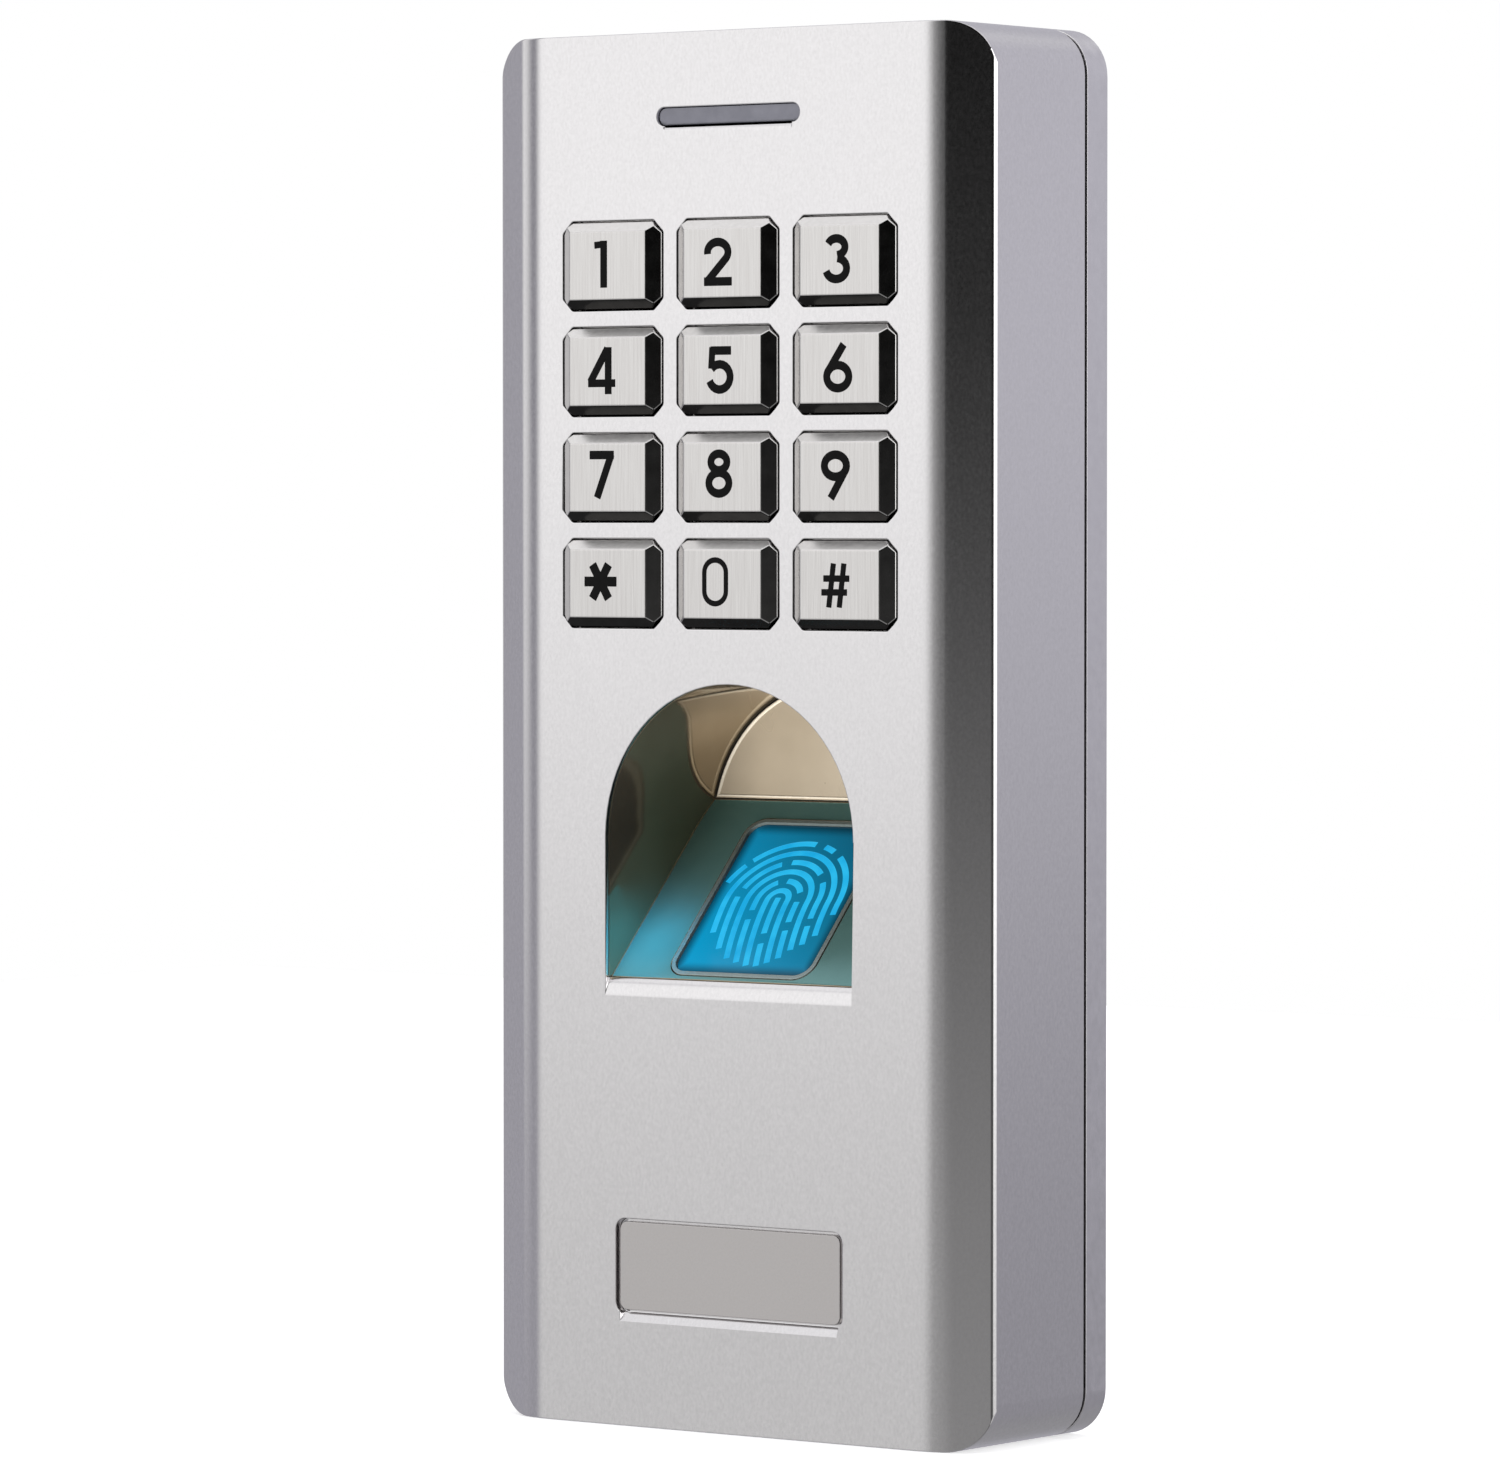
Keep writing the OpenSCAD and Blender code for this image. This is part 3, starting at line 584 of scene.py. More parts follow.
def clear_glass():
    # Polished optical acrylic of the prism: clear with a faint cold tint.
    made, tree, output = empty_material("optical_acrylic")
    place = add(tree, "ShaderNodeTexCoord").outputs["Object"]
    waves = add(tree, "ShaderNodeTexNoise", values={"Vector": place, "Scale": 1 / (6 * MM)})
    rough = add(
        tree, "ShaderNodeMapRange", values={"Value": waves.outputs["Fac"], "To Min": 0.02, "To Max": 0.06}
    )
    shader = add(
        tree,
        "ShaderNodeBsdfPrincipled",
        values={
            "Base Color": linear("#dff1f4"),
            "Roughness": rough.outputs["Result"],
            "IOR": 1.49,
            "Transmission Weight": 1.0,
        },
    )
    tree.links.new(shader.outputs["BSDF"], output.inputs["Surface"])
    return made


def lamp_resin():
    # Clear epoxy of the small lamps over their blue-white chip: cloudy and faintly lit.
    made, tree, output = empty_material("lamp_resin")
    place = add(tree, "ShaderNodeTexCoord").outputs["Object"]
    cloud = add(tree, "ShaderNodeTexNoise", values={"Vector": place, "Scale": 1 / (1.2 * MM)})
    colour = add(tree, "ShaderNodeValToRGB", values={"Fac": cloud.outputs["Fac"]})
    colour_stops(colour, [(0.3, linear("#d9dfe4")), (0.7, linear("#f2f4f5"))])
    shader = add(
        tree,
        "ShaderNodeBsdfPrincipled",
        values={
            "Base Color": colour.outputs["Color"],
            "Roughness": 0.2,
            "IOR": 1.54,
            "Emission Color": linear("#8fd8ff"),
            "Emission Strength": 0.3,
        },
    )
    tree.links.new(shader.outputs["BSDF"], output.inputs["Surface"])
    return made


def solder_mask():
    # Glass-fibre board under green solder mask: raised copper tracks about 0.8 mm apart show through.
    made, tree, output = empty_material("solder_mask")
    place = add(tree, "ShaderNodeTexCoord").outputs["Object"]
    tracks = add(
        tree,
        "ShaderNodeTexBrick",
        {"offset": 0.35, "squash": 0.6, "squash_frequency": 3},
        {
            "Vector": add(
                tree, "ShaderNodeMapping", values={"Vector": place, "Rotation": (math.pi / 2, 0, 0)}
            ).outputs["Vector"],
            "Color1": linear("#0e4a26"),
            "Color2": linear("#115730"),
            "Mortar": linear("#1c7340"),
            "Scale": 1.0,
            "Mortar Size": 0.12 * MM,
            "Mortar Smooth": 0.2,
            "Brick Width": 5 * MM,
            "Row Height": 0.8 * MM,
        },
    )
    relief = add(
        tree, "ShaderNodeBump", values={"Height": tracks.outputs["Fac"], "Distance": 0.03 * MM}
    )
    shader = add(
        tree,
        "ShaderNodeBsdfPrincipled",
        values={
            "Base Color": tracks.outputs["Color"],
            "Roughness": 0.32,
            "IOR": 1.55,
            "Normal": relief.outputs["Normal"],
        },
    )
    tree.links.new(shader.outputs["BSDF"], output.inputs["Surface"])
    return made


def legend_ink():
    # Black epoxy paint wiped into the legends: slightly glossy, faintly uneven.
    return grained(
        "legend_ink", "#060606", "#0c0c0d", (0.4, 0.4, 0.4), rough=(0.4, 0.5), bump=0.002, specular=0.12,
    )


def ridge_light():
    # Ridge pattern etched in the glass, which scatters the blue light: pale cyan, evenly bright.
    made, tree, output = empty_material("ridge_light")
    place = add(tree, "ShaderNodeTexCoord").outputs["Object"]
    flicker = add(tree, "ShaderNodeTexNoise", values={"Vector": place, "Scale": 1 / (3 * MM)})
    colour = add(tree, "ShaderNodeValToRGB", values={"Fac": flicker.outputs["Fac"]})
    colour_stops(colour, [(0.35, linear("#19b0ea")), (0.65, linear("#2cc4f8"))])
    shader = add(
        tree,
        "ShaderNodeBsdfPrincipled",
        values={
            "Base Color": linear("#074058"),
            "Roughness": 0.3,
            "IOR": 1.33,
            "Emission Color": colour.outputs["Color"],
            "Emission Strength": 0.86,
        },
    )
    tree.links.new(shader.outputs["BSDF"], output.inputs["Surface"])
    return made


def pale_floor(glow):
    """White seamless paper, lit evenly: only a soft contact shadow shows on it."""
    made, tree, output = empty_material("seamless_paper")
    place = add(tree, "ShaderNodeTexCoord").outputs["Object"]
    fibre = add(tree, "ShaderNodeTexNoise", values={"Vector": place, "Scale": 1 / (2 * MM)})
    rough = add(
        tree, "ShaderNodeMapRange", values={"Value": fibre.outputs["Fac"], "To Min": 0.85, "To Max": 0.95}
    )
    shader = add(
        tree,
        "ShaderNodeBsdfPrincipled",
        values={
            "Base Color": linear("#f7f7f7"),
            "Roughness": rough.outputs["Result"],
            "Emission Color": linear("#ffffff"),
            "Emission Strength": glow,
        },
    )
    tree.links.new(shader.outputs["BSDF"], output.inputs["Surface"])
    return made


# ---------------------------------------------------------------------------
# Shapes


def scanner_slope():
    """The angle of the scanner window above level, in radians, from the face that looks up and out."""
    window = frame["nodes"]["sensor_window"]
    normal = max((face.normal for face in window.data.polygons), key=lambda n: n.z - n.y)
    return math.atan2(-normal.y, normal.z)


def scanner_axes():
    """Unit vectors across the window, up its slope and out of its face."""
    slope = scanner_slope()
    return (
        Vector((1, 0, 0)),
        Vector((0, math.cos(slope), math.sin(slope))),
        Vector((0, -math.sin(slope), math.cos(slope))),
    )


def scanner_span():
    """Low and high reach of the window's points along each of its own axes."""
    points = [v.co for v in frame["nodes"]["sensor_window"].data.vertices]
    reaches = [[p.dot(axis) for p in points] for axis in scanner_axes()]
    return [(min(reach), max(reach)) for reach in reaches]


def scanner_length():
    """How long the window is up its slope."""
    low, high = scanner_span()[1]
    return high - low


def scanner_middle():
    """The middle of the window's outer face."""
    axes, spans = scanner_axes(), scanner_span()
    return axes[0] * sum(spans[0]) / 2 + axes[1] * sum(spans[1]) / 2 + axes[2] * spans[2][1]


def soft_edged(node, edge, material, sharp=SHARP_EDGE, cuts=()):
    """A copy of a CAD node with its sharp edges rounded by edge millimetres, which stands for that node.

    cuts are planes (axis, millimetres) just off the bends, which keep the curved shading close to them.
    """
    piece = frame["nodes"][node].copy()
    piece.data = piece.data.copy()
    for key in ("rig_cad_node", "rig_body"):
        del piece[key]
    piece.name = f"{node}_finished"
    piece.parent = None
    bpy.context.scene.collection.objects.link(piece)
    pick(piece)
    bpy.ops.object.mode_set(mode="EDIT")
    bpy.ops.mesh.select_all(action="SELECT")
    bpy.ops.mesh.remove_doubles(threshold=MERGE * MM)
    bpy.ops.mesh.dissolve_limited(angle_limit=math.radians(SAME_FLAT))
    for axis, place in cuts:
        across = Vector((axis == "X", axis == "Y", axis == "Z"))
        bpy.ops.mesh.select_all(action="SELECT")
        bpy.ops.mesh.bisect(plane_co=across * place * MM, plane_no=across)
    bpy.ops.object.mode_set(mode="OBJECT")
    rounding = piece.modifiers.new("edges", "BEVEL")
    rounding.width = edge * MM
    rounding.segments = 2
    rounding.limit_method = "ANGLE"
    rounding.angle_limit = math.radians(sharp)
    rounding.use_clamp_overlap = False
    rounding.miter_outer = "MITER_ARC"
    bpy.ops.object.modifier_apply(modifier=rounding.name)
    bpy.ops.object.shade_smooth_by_angle(angle=math.radians(SMOOTH_BEND))
    keep_flats(piece.data, math.radians(SMOOTH_BEND))
    dress(piece, material)
    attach(piece, frame["nodes"][node]["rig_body"])
    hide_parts(node)
    return piece


def keep_flats(mesh, limit):
    """Shades wide flats as flat and only bends and rounded edges as curved.

    Each corner takes the average normal of the faces that meet there within limit, weighted by the square of
    the whole area that lies in the same plane.
    """
    planes, key_of, around = {}, [], {}
    for face in mesh.polygons:
        offset = face.center.dot(face.normal)
        key = (*(round(value, 2) for value in face.normal), round(offset / (PLANE_STEP * MM)))
        key_of.append(key)
        planes[key] = planes.get(key, 0.0) + face.area / MM**2
        for vertex in face.vertices:
            around.setdefault(vertex, []).append(face)
    normals = [None] * len(mesh.loops)
    for face in mesh.polygons:
        for corner in face.loop_indices:
            total = Vector()
            for other in around[mesh.loops[corner].vertex_index]:
                if face.normal.dot(other.normal) > math.cos(limit):
                    total += other.normal * planes[key_of[other.index]] ** 2
            normals[corner] = total.normalized() if total.length > 0 else face.normal.copy()
    mesh.normals_split_custom_set(normals)


def inlay(name, strokes, thick, origin, axes):
    """A thin raised pattern of round-edged strokes on a face.

    strokes are (points, closed, half width), points in millimetres across and up the face.
    """
    bpy.ops.object.select_all(action="DESELECT")
    bpy.ops.curve.primitive_bezier_curve_add(location=(0, 0, 0))
    line = bpy.context.object
    line.name = name
    widest = max(half for _, _, half in strokes)
    line.data.splines.clear()
    line.data.dimensions = "3D"
    line.data.bevel_depth = widest * MM
    line.data.bevel_resolution = 2
    line.data.use_fill_caps = True
    for points, closed, half in strokes:
        spline = line.data.splines.new("POLY")
        spline.points.add(len(points) - 1)
        for point, (across, up) in zip(spline.points, points):
            point.co = (across * MM, up * MM, 0, 1)
            point.radius = half / widest
        spline.use_cyclic_u = closed
    bpy.ops.object.convert(target="MESH")
    piece = bpy.context.object
    across, up, out = axes
    flat = Matrix.Diagonal((1, 1, thick / widest, 1))
    turn = Matrix((across, up, out)).transposed().to_4x4()
    piece.data.transform(Matrix.Translation(origin) @ turn @ flat)
    bpy.ops.object.mode_set(mode="EDIT")
    bpy.ops.mesh.select_all(action="SELECT")
    bpy.ops.mesh.remove_doubles(threshold=MERGE_INLAY * MM)
    bpy.ops.mesh.normals_make_consistent(inside=False)
    bpy.ops.object.mode_set(mode="OBJECT")
    bpy.ops.object.shade_smooth_by_angle(angle=math.radians(SMOOTH_INLAY_BEND))
    return piece


def arc(across, up, wide, high, start, end, steps=18):
    """Points on an ellipse from start to end, in degrees anticlockwise from the right."""
    turns = [math.radians(start + (end - start) * i / steps) for i in range(steps + 1)]
    return [(across + wide * math.cos(t), up + high * math.sin(t)) for t in turns]


def ring(across, up, wide, high, steps=28):
    """A closed ellipse's points."""
    return arc(across, up, wide, high, 0, 360 - 360 / steps, steps - 1)


# ---------------------------------------------------------------------------
# Key legends and ridges: strokes in millimetres


# How far each legend is printed off the middle of its key, across and up
LEGEND_SHIFT = {
    "1": (-0.75, 0.15), "2": (-0.5, 0.1), "3": (-0.4, 0.15), "4": (-0.7, 0.1), "5": (-0.3, 0.0),
    "6": (-0.2, 0.05), "7": (-0.7, 0.35), "8": (-0.4, 0.4), "9": (-0.5, 0.2), "star": (-0.9, 0.2),
    "0": (-0.9, 0.25), "hash": (-0.5, -0.05),
}


def legends(half, thin):
    """The strokes of each legend, from the middle of the key's face.

    half is the usual half width of a stroke and thin that of the finer signs.
    """
    star_turns = (0, math.pi / 3, -math.pi / 3)
    fine = thin * 1.15
    return {
        "1": [
            ([(0.3, 2.5), (0.3, -2.5)], False, half),
            ([(-0.95, 2.02), (0.3, 2.12)], False, 0.8 * half),
        ],
        "2": [
            (arc(-0.05, 1.02, 1.35, 1.08, 190, -38) + [(-1.35, -1.95)], False, half),
            ([(-1.85, -2.05), (1.8, -2.05)], False, half),
        ],
        "3": [
            (arc(0.0, 1.22, 1.12, 0.88, 158, -84), False, half),
            (arc(0.0, -1.02, 1.33, 1.1, 84, -166), False, half),
        ],
        "4": [
            ([(0.75, 2.35), (-1.55, -1.2)], False, half),
            ([(-1.85, -1.33), (1.8, -1.33)], False, 0.9 * half),
            ([(0.85, 2.5), (0.85, -2.5)], False, half),
        ],
        "5": [
            ([(-1.2, 2.05), (1.5, 2.05)], False, half),
            ([(-0.95, 2.4), (-1.1, 0.15)], False, 0.9 * half),
            (arc(0.0, -0.72, 1.38, 1.33, 140, -162), False, half),
        ],
        "6": [(ring(0, -0.9, 1.42, 1.2), True, half), ([(0.75, 2.45), (-1.2, -0.3)], False, half)],
        "7": [([(-1.65, 2.05), (1.6, 2.05)], False, half), ([(1.25, 2.1), (-0.65, -2.5)], False, half)],
        "8": [(ring(0, 1.2, 1.05, 0.87), True, half), (ring(0, -1.02, 1.32, 1.1), True, half)],
        "9": [(ring(0, 0.95, 1.42, 1.15), True, half), ([(1.2, 0.35), (-0.6, -2.45)], False, half)],
        "star": [
            ([(side * 2.15 * math.cos(a), side * 2.1 * math.sin(a)) for side in (-1, 1)], False, 1.15 * half)
            for a in star_turns
        ],
        "0": [
            (arc(0, 1.0, 1.42, 1.3, 0, 180, 14) + arc(0, -1.0, 1.42, 1.3, 180, 360, 14), True, thin),
        ],
        "hash": [
            ([(-0.85, -2.3), (-0.25, 2.3)], False, fine),
            ([(0.5, -2.3), (1.1, 2.3)], False, fine),
            ([(-1.55, 0.72), (1.8, 0.72)], False, fine),
            ([(-1.8, -0.72), (1.5, -0.72)], False, fine),
        ],
    }


def ridge_strokes(count, pitch, half):
    """Nested arches on legs that drift sideways, broken here and there, as a fingertip's ridges run.

    Strokes in millimetres from the pattern's own middle.
    """
    # How far up each arch's left and right leg ends, from the innermost arch out
    left_ends = (-9.3, -8.9, -8.4, -7.1, -4.9, 2.2)
    right_ends = (-8.8, -8.1, -6.9, -6.1, -4.8, -1.8)
    # Where a ridge is broken
    breaks = (
        (-6.6, 5.3), (1.7, 7.7), (4.4, 6.6), (-1.4, 5.4), (-0.6, 2.7), (-5.3, 0.9), (4.3, 3.2),
        (2.5, 0.5), (-2.5, -2.3), (3.2, -3.7), (5.9, -2.9), (0.8, -5.5),
    )
    paths = [leg(0.0, 0.3, -9.3)]
    for i in range(count):
        radius = pitch * (i + 1)
        start = math.degrees(math.asin(min(1.0, max(0.0, left_ends[i]) / radius)))
        path = arc(0, 0, radius, radius, 180 - start, 0, 20 + 16 * i)
        if left_ends[i] < 0:
            path = leg(-radius, 0, left_ends[i])[::-1] + path[1:]
        paths.append(path + leg(radius, 0, right_ends[i])[1:])
    strokes = []
    for path in paths:
        run = []
        for point in path + [None]:
            if point and min(math.dist(point, gap) for gap in breaks) > BREAK_REACH:
                run.append(point)
                continue
            if len(run) >= FEWEST_POINTS:
                strokes.append((run, False, half))
            run = []
    return strokes


def leg(across, top, bottom, steps=40):
    """Points from top to bottom of a ridge's leg, which drifts to the right as it falls."""
    ups = [top + (bottom - top) * i / steps for i in range(steps + 1)]
    return [(across + LEG_DRIFT * (max(0.0, -up) / LEG_LENGTH) ** LEG_CURVE, up) for up in ups]


# ---------------------------------------------------------------------------
# Settings a user would change


class TerminalShapes(bpy.types.PropertyGroup):
    """Sizes of the finished shapes, in millimetres"""

    shell_edge: FloatProperty(
        name="Shell edge",
        description="Rounding of the shell's sharp edges",
        default=0.14, min=0.02, max=0.3,
    )
    key_edge: FloatProperty(
        name="Key edge",
        description="Rounding of the keys' edges",
        default=0.14, min=0.02, max=0.3,
    )
    legend_stroke: FloatProperty(
        name="Legend stroke",
        description="Half the width of a legend's stroke",
        default=0.46, min=0.2, max=0.7,
    )
    legend_fine: FloatProperty(
        name="Fine stroke",
        description="Half the width of the finer signs' strokes",
        default=0.3, min=0.1, max=0.5,
    )
    legend_rise: FloatProperty(
        name="Legend rise",
        description="How far the ink stands out of the key",
        default=0.02, min=0.005, max=0.1,
    )
    ridge_count: IntProperty(
        name="Ridges",
        description="Nested ridges on the scanner window",
        default=6, min=3, max=6,
    )
    ridge_pitch: FloatProperty(
        name="Ridge spacing",
        description="Distance between ridges",
        default=1.34, min=1.0, max=1.4,
    )
    ridge_half: FloatProperty(
        name="Ridge stroke",
        description="Half the width of a ridge",
        default=0.36, min=0.1, max=0.6,
    )


class TerminalLight(bpy.types.PropertyGroup):
    """The scanner's glow and the studio"""

    scan_glow: FloatProperty(
        name="Scanner glow",
        description="Strength of the light in the scanner glass",
        default=0.85, min=0, max=5,
    )
    fill: FloatProperty(
        name="Recess fill",
        description="Power of the soft box that opens up the recess",
        default=3.3, min=0, max=50, unit="POWER",
    )
    spill: FloatProperty(
        name="Scanner spill",
        description="Power of the scanner's light on the slope",
        default=0.0011, min=0, max=1, unit="POWER",
    )
    floor_glow: FloatProperty(
        name="Floor light",
        description="Even light in the paper floor",
        default=0.55, min=0, max=2,
    )
    room: FloatProperty(
        name="Room light",
        description="Strength of the studio's surrounding light",
        default=1.0, min=0, max=5,
    )
    lens: FloatProperty(
        name="Lens",
        description="Focal length of the camera",
        default=188.2, min=20, max=400,
    )


# ---------------------------------------------------------------------------
# Operators


class TERMINAL_OT_stage(bpy.types.Operator):
    """Sets up the camera, the surrounding studio light and the paper floor"""

    bl_idname = "terminal.stage"
    bl_label = "Studio"

    def execute(self, context):
        light = context.scene.terminal_light
        bpy.ops.object.select_all(action="DESELECT")
        bpy.ops.object.camera_add(
            location=CAMERA_PLACE, rotation=(math.radians(CAMERA_TILT), 0, math.radians(CAMERA_TURN))
        )
        camera = context.object
        camera.data.sensor_width = SENSOR_WIDTH
        camera.data.lens = light.lens
        camera.data.clip_start = 0.01
        camera.data.clip_end = 50
        context.scene.camera = camera
        context.scene.view_settings.view_transform = "Standard"
        context.scene.world = studio_room(light.room)

        # A soft box low on the left opens up the recess; nothing polished mirrors it
        soft_light(
            "recess_fill",
            place=(-0.04, -0.36, -0.28),
            target=(0, 0, -0.012),
            size=0.2,
            power=light.fill,
            colour="#fff8ee",
        )
        # The scanner's own light, spilling down the slope to the left of the glass
        soft_light(
            "scanner_spill",
            place=(-0.0128, -0.0235, -0.019),
            target=(-0.0138, -0.0192, -0.0242),
            size=0.008,
            power=light.spill,
            colour="#04b8e6",
            spread=140,
        )

        bpy.ops.mesh.primitive_plane_add(size=FLOOR_SIZE, location=(0, 0, CAD_LOW.z - FLOOR_DROP))
        floor = context.object
        floor.name = "paper_floor"
        bpy.ops.object.mode_set(mode="EDIT")
        bpy.ops.mesh.select_all(action="SELECT")
        bpy.ops.mesh.subdivide(number_cuts=3)
        bpy.ops.object.mode_set(mode="OBJECT")
        dress(floor, pale_floor(light.floor_glow))
        floor.visible_glossy = False
        floor.visible_diffuse = False
        # The soft box stands under the paper, which lets its light through
        floor.visible_shadow = False
        return {"FINISHED"}


def soft_light(name, place, target, size, power, colour, spread=180):
    """A square area light at place that shines at target and that no polished surface mirrors."""
    aim = (Vector(target) - Vector(place)).to_track_quat("-Z", "Y")
    bpy.ops.object.light_add(type="AREA", location=place, rotation=aim.to_euler())
    lamp = bpy.context.object
    lamp.name = name
    lamp.data.size = size
    lamp.data.energy = power
    lamp.data.spread = math.radians(spread)
    lamp.data.color = linear(colour)[:3]
    lamp.visible_glossy = False
    lamp.visible_camera = False


def studio_room(strength):
    """Soft boxes and dark flags all round, drawn by direction, for the metal to mirror.

    The camera sees plain white.
    """
    world = bpy.data.worlds.new("studio_room")
    world.use_nodes = True
    tree = world.node_tree
    tree.nodes.clear()
    output = add(tree, "ShaderNodeOutputWorld")
    direction = add(tree, "ShaderNodeTexCoord").outputs["Generated"]
    split = add(tree, "ShaderNodeSeparateXYZ", values={"Vector": direction})
    forward = add(tree, "ShaderNodeMath", {"operation": "MULTIPLY"}, {0: split.outputs["Y"], 1: -1.0})
    turn = add(
        tree, "ShaderNodeMath", {"operation": "ARCTAN2"}, {0: split.outputs["X"], 1: forward.outputs["Value"]}
    )
    round_room = add(
        tree,
        "ShaderNodeMapRange",
        values={"Value": turn.outputs["Value"], "From Min": -math.pi, "From Max": math.pi},
    ).outputs["Result"]
    height = add(tree, "ShaderNodeMath", {"operation": "ARCSINE"}, {0: split.outputs["Z"]}).outputs["Value"]

    def band(stops):
        """The light all round at one height."""
        made = add(tree, "ShaderNodeValToRGB", values={"Fac": round_room})
        colour_stops(
            made,
            [
                ((degrees + 180) / 360, [value * tint for tint in tints] + [1])
                for degrees, value, tints in stops
            ],
        )
        return made.outputs["Color"]

    def blend(lower, upper, start, end):
        """One light below and another above, mixed from the start height to the end height in degrees."""
        share = add(
            tree,
            "ShaderNodeMapRange",
            {"interpolation_type": "SMOOTHSTEP"},
            {"Value": height, "From Min": math.radians(start), "From Max": math.radians(end)},
        )
        mixed = add(tree, "ShaderNodeMix", {"data_type": "RGBA"}, {"Factor": share.outputs["Result"]})
        for socket, value in zip([s for s in mixed.inputs if s.type == "RGBA"], (lower, upper)):
            if isinstance(value, bpy.types.NodeSocket):
                tree.links.new(value, socket)
            else:
                socket.default_value = value
        return [s for s in mixed.outputs if s.type == "RGBA"][0]

    room = blend(band(LOWER_ROOM), band(UPPER_ROOM), *LOWER_TO_UPPER)
    room = blend(FLOOR_BOUNCE, room, *FLOOR_TO_LOWER)
    room = blend(room, CEILING, *UPPER_TO_CEILING)
    seen = add(tree, "ShaderNodeLightPath").outputs["Is Camera Ray"]
    lit = add(tree, "ShaderNodeBackground", values={"Color": room, "Strength": strength})
    plain = add(tree, "ShaderNodeBackground", values={"Color": (1, 1, 1, 1), "Strength": 1.0})
    either = add(
        tree,
        "ShaderNodeMixShader",
        values={"Fac": seen, 1: lit.outputs["Background"], 2: plain.outputs["Background"]},
    )
    tree.links.new(either.outputs["Shader"], output.inputs["Surface"])
    return world


class TERMINAL_OT_shell(bpy.types.Operator):
    """Finishes the metal shell, with its sharp edges eased"""

    bl_idname = "terminal.shell"
    bl_label = "Shell"

    def execute(self, context):
        shapes = context.scene.terminal_shapes
        cuts = (("Y", SHELL_CUT_Y),)
        soft_edged("front_shell", shapes.shell_edge, lacquered_zinc(), cuts=cuts)
        return {"FINISHED"}


class TERMINAL_OT_keys(bpy.types.Operator):
    """Finishes the twelve keys"""

    bl_idname = "terminal.keys"
    bl_label = "Keys"

    def execute(self, context):
        shapes = context.scene.terminal_shapes
        metal = brushed_key_metal()
        bevels = (polished_key_bevel(), burnished_key_edge(), satin_key_bevel())
        for key in KEYS:
            piece = soft_edged(f"keycap_{key}", shapes.key_edge, metal, SHARP_KEY_EDGE)
            for bevel in bevels:
                piece.data.materials.append(bevel)
            # Down-facing bevels get the painted shade, up-facing ones the painted highlight, the rest the
            # polished bevel
            for face in piece.data.polygons:
                if face.normal.y <= KEY_FRONT:
                    continue
                if face.normal.z < KEY_LOWER_BEVEL:
                    face.material_index = KEY_LOWER_SHADE
                elif face.normal.z > KEY_UPPER_BEVEL:
                    face.material_index = KEY_UPPER_HIGHLIGHT
                else:
                    face.material_index = KEY_SIDE_FINISH
        return {"FINISHED"}


class TERMINAL_OT_legends(bpy.types.Operator):
    """Inks the legends on the keys"""

    bl_idname = "terminal.legends"
    bl_label = "Legends"

    def execute(self, context):
        shapes = context.scene.terminal_shapes
        ink = legend_ink()
        for key, strokes in legends(shapes.legend_stroke, shapes.legend_fine).items():
            low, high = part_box(f"keycap_{key}")
            across, up = LEGEND_SHIFT[key]
            origin = Vector(((low.x + high.x) / 2 + across * MM, low.y, (low.z + high.z) / 2 + up * MM))
            piece = inlay(f"legend_{key}", strokes, shapes.legend_rise, origin, FRONT_AXES)
            dress(piece, ink)
            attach(piece, f"key_{key}")
        return {"FINISHED"}


class TERMINAL_OT_recess(bpy.types.Operator):
    """Finishes the finger recess, the bezel and the lit scanner glass with its ridges"""

    bl_idname = "terminal.recess"
    bl_label = "Finger recess"

    def execute(self, context):
        shapes = context.scene.terminal_shapes
        light = context.scene.terminal_light
        shroud = soft_edged("finger_shroud", EDGE["finger_shroud"], plated_recess())
        shroud.data.materials.append(painted_back_wall())
        shroud.data.materials.append(ramp_painted_glow())
        slope = scanner_axes()[2]
        # The back wall gets its paint and the ramp the painted blue glow
        for face in shroud.data.polygons:
            depth = abs(face.center.y - RECESS_BACK_Y * MM)
            if face.normal.y < BACK_WALL_FACING and depth < BACK_WALL_NEAR * MM:
                face.material_index = BACK_WALL_FINISH
            elif face.normal.dot(slope) > RAMP_FACING:
                face.material_index = RAMP_PAINTED_GLOW
        soft_edged("sensor_bezel", EDGE["sensor_bezel"], polished_bezel())
        glass = scanner_glass(light.scan_glow)
        window = soft_edged("sensor_window", EDGE["sensor_window"], glass)
        ridges = inlay(
            "ridge_pattern",
            ridge_strokes(shapes.ridge_count, shapes.ridge_pitch, shapes.ridge_half),
            RIDGES_RISE,
            scanner_middle() - Vector((RIDGES_LEFT * MM, 0, 0)),
            scanner_axes(),
        )
        dress(ridges, ridge_light())
        # The glow is too weak for the polished walls to show it
        window.visible_glossy = False
        ridges.visible_glossy = False
        self.back_wall()
        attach(ridges, "root")
        return {"FINISHED"}

    def back_wall(self):
        """A bead painted light as a highlight and a black strip painted as the joint's shade follow the arch
        and foot of the recess's back wall.
        """
        wall = RECESS_BACK_Y * MM
        radius, centre, foot = RECESS_RADIUS, RECESS_CENTRE_Z, RECESS_FOOT_Z
        for name, inset, half, rise, material in (
            ("recess_joint_shade", 0.11, 0.11, 0.05, groove_painted_shade()),
            ("recess_highlight_bead", 0.42, 0.19, 0.14, bead_painted_highlight()),
        ):
            reach = radius - inset
            start = math.degrees(math.asin((foot + inset - centre) / reach))
            path = arc(0, centre, reach, reach, start, 180 - start, 72)
            piece = inlay(name, [(path, True, half)], rise, Vector((0, wall, 0)), FRONT_AXES)
            dress(piece, material)
            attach(piece, "root")


class TERMINAL_OT_front_trim(bpy.types.Operator):
    """Finishes the indicator lens and the badge blank"""

    bl_idname = "terminal.front_trim"
    bl_label = "Indicator and badge"

    def execute(self, context):
        soft_edged("indicator_lens", EDGE["indicator_lens"], smoked_lens())
        soft_edged("badge_plate", EDGE["badge_plate"], satin_badge())
        return {"FINISHED"}


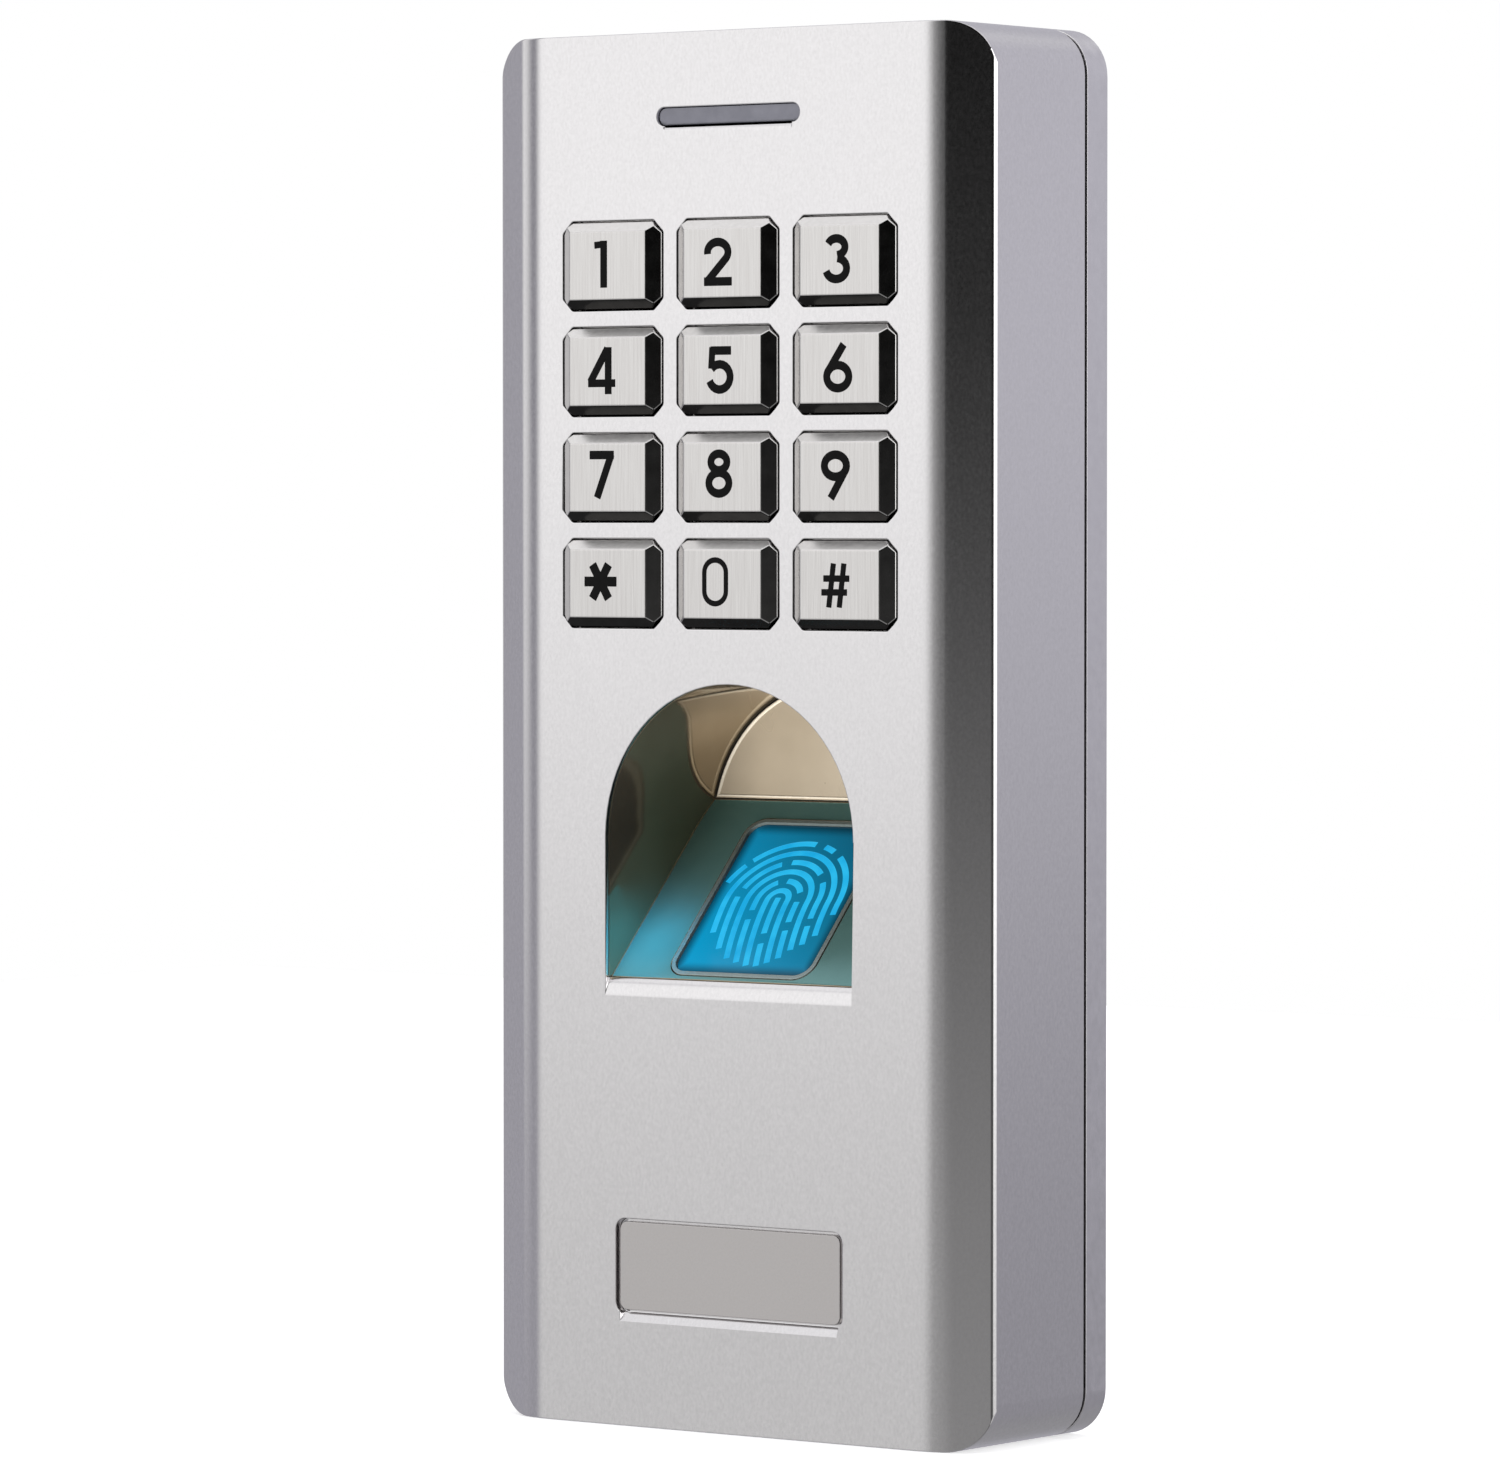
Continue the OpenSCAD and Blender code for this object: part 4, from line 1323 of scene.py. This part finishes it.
class TERMINAL_OT_wall_side(bpy.types.Operator):
    """Finishes the wall plate"""

    bl_idname = "terminal.wall_side"
    bl_label = "Wall side"

    def execute(self, context):
        soft_edged("mounting_plate", EDGE["mounting_plate"], powder_coated_plate())
        return {"FINISHED"}


class TERMINAL_OT_inside(bpy.types.Operator):
    """Gives every other CAD node its own finish"""

    bl_idname = "terminal.inside"
    bl_label = "Inside parts"

    def execute(self, context):
        made = {
            slot: grained(name, low, high, grain, **rest)
            for slot, (name, low, high, grain, rest) in PLAIN_FINISHES.items()
        }
        made["prism_glass"] = clear_glass()
        made["led_white"] = lamp_resin()
        made["board_green"] = solder_mask()
        for name, node in frame["nodes"].items():
            if SLOT_OF[name] in made:
                dress(node, made[SLOT_OF[name]])
            elif not node.hide_render and name != "sensor_window":
                raise RuntimeError(f"{name} has no finish")
        return {"FINISHED"}


class TERMINAL_PT_panel(bpy.types.Panel):
    """Lists the settings and steps in the 3D view's sidebar"""

    bl_idname = "TERMINAL_PT_panel"
    bl_label = "Access Terminal"
    bl_space_type = "VIEW_3D"
    bl_region_type = "UI"
    bl_category = "Terminal"

    def draw(self, context):
        for group in (context.scene.terminal_shapes, context.scene.terminal_light):
            box = self.layout.box()
            for name in group.__annotations__:
                box.prop(group, name)
        for step in STEPS:
            self.layout.operator(step.bl_idname)


STEPS = (
    TERMINAL_OT_stage,
    TERMINAL_OT_shell,
    TERMINAL_OT_keys,
    TERMINAL_OT_legends,
    TERMINAL_OT_recess,
    TERMINAL_OT_front_trim,
    TERMINAL_OT_wall_side,
    TERMINAL_OT_inside,
)
CLASSES = (TerminalShapes, TerminalLight, *STEPS, TERMINAL_PT_panel)


def register():
    for kind in CLASSES:
        bpy.utils.register_class(kind)
    bpy.types.Scene.terminal_shapes = PointerProperty(type=TerminalShapes)
    bpy.types.Scene.terminal_light = PointerProperty(type=TerminalLight)


def unregister():
    del bpy.types.Scene.terminal_light
    del bpy.types.Scene.terminal_shapes
    for kind in reversed(CLASSES):
        bpy.utils.unregister_class(kind)


def main():
    register()
    for step in STEPS:
        family, name = step.bl_idname.split(".")
        getattr(getattr(bpy.ops, family), name)()


if __name__ == "__main__":
    main()
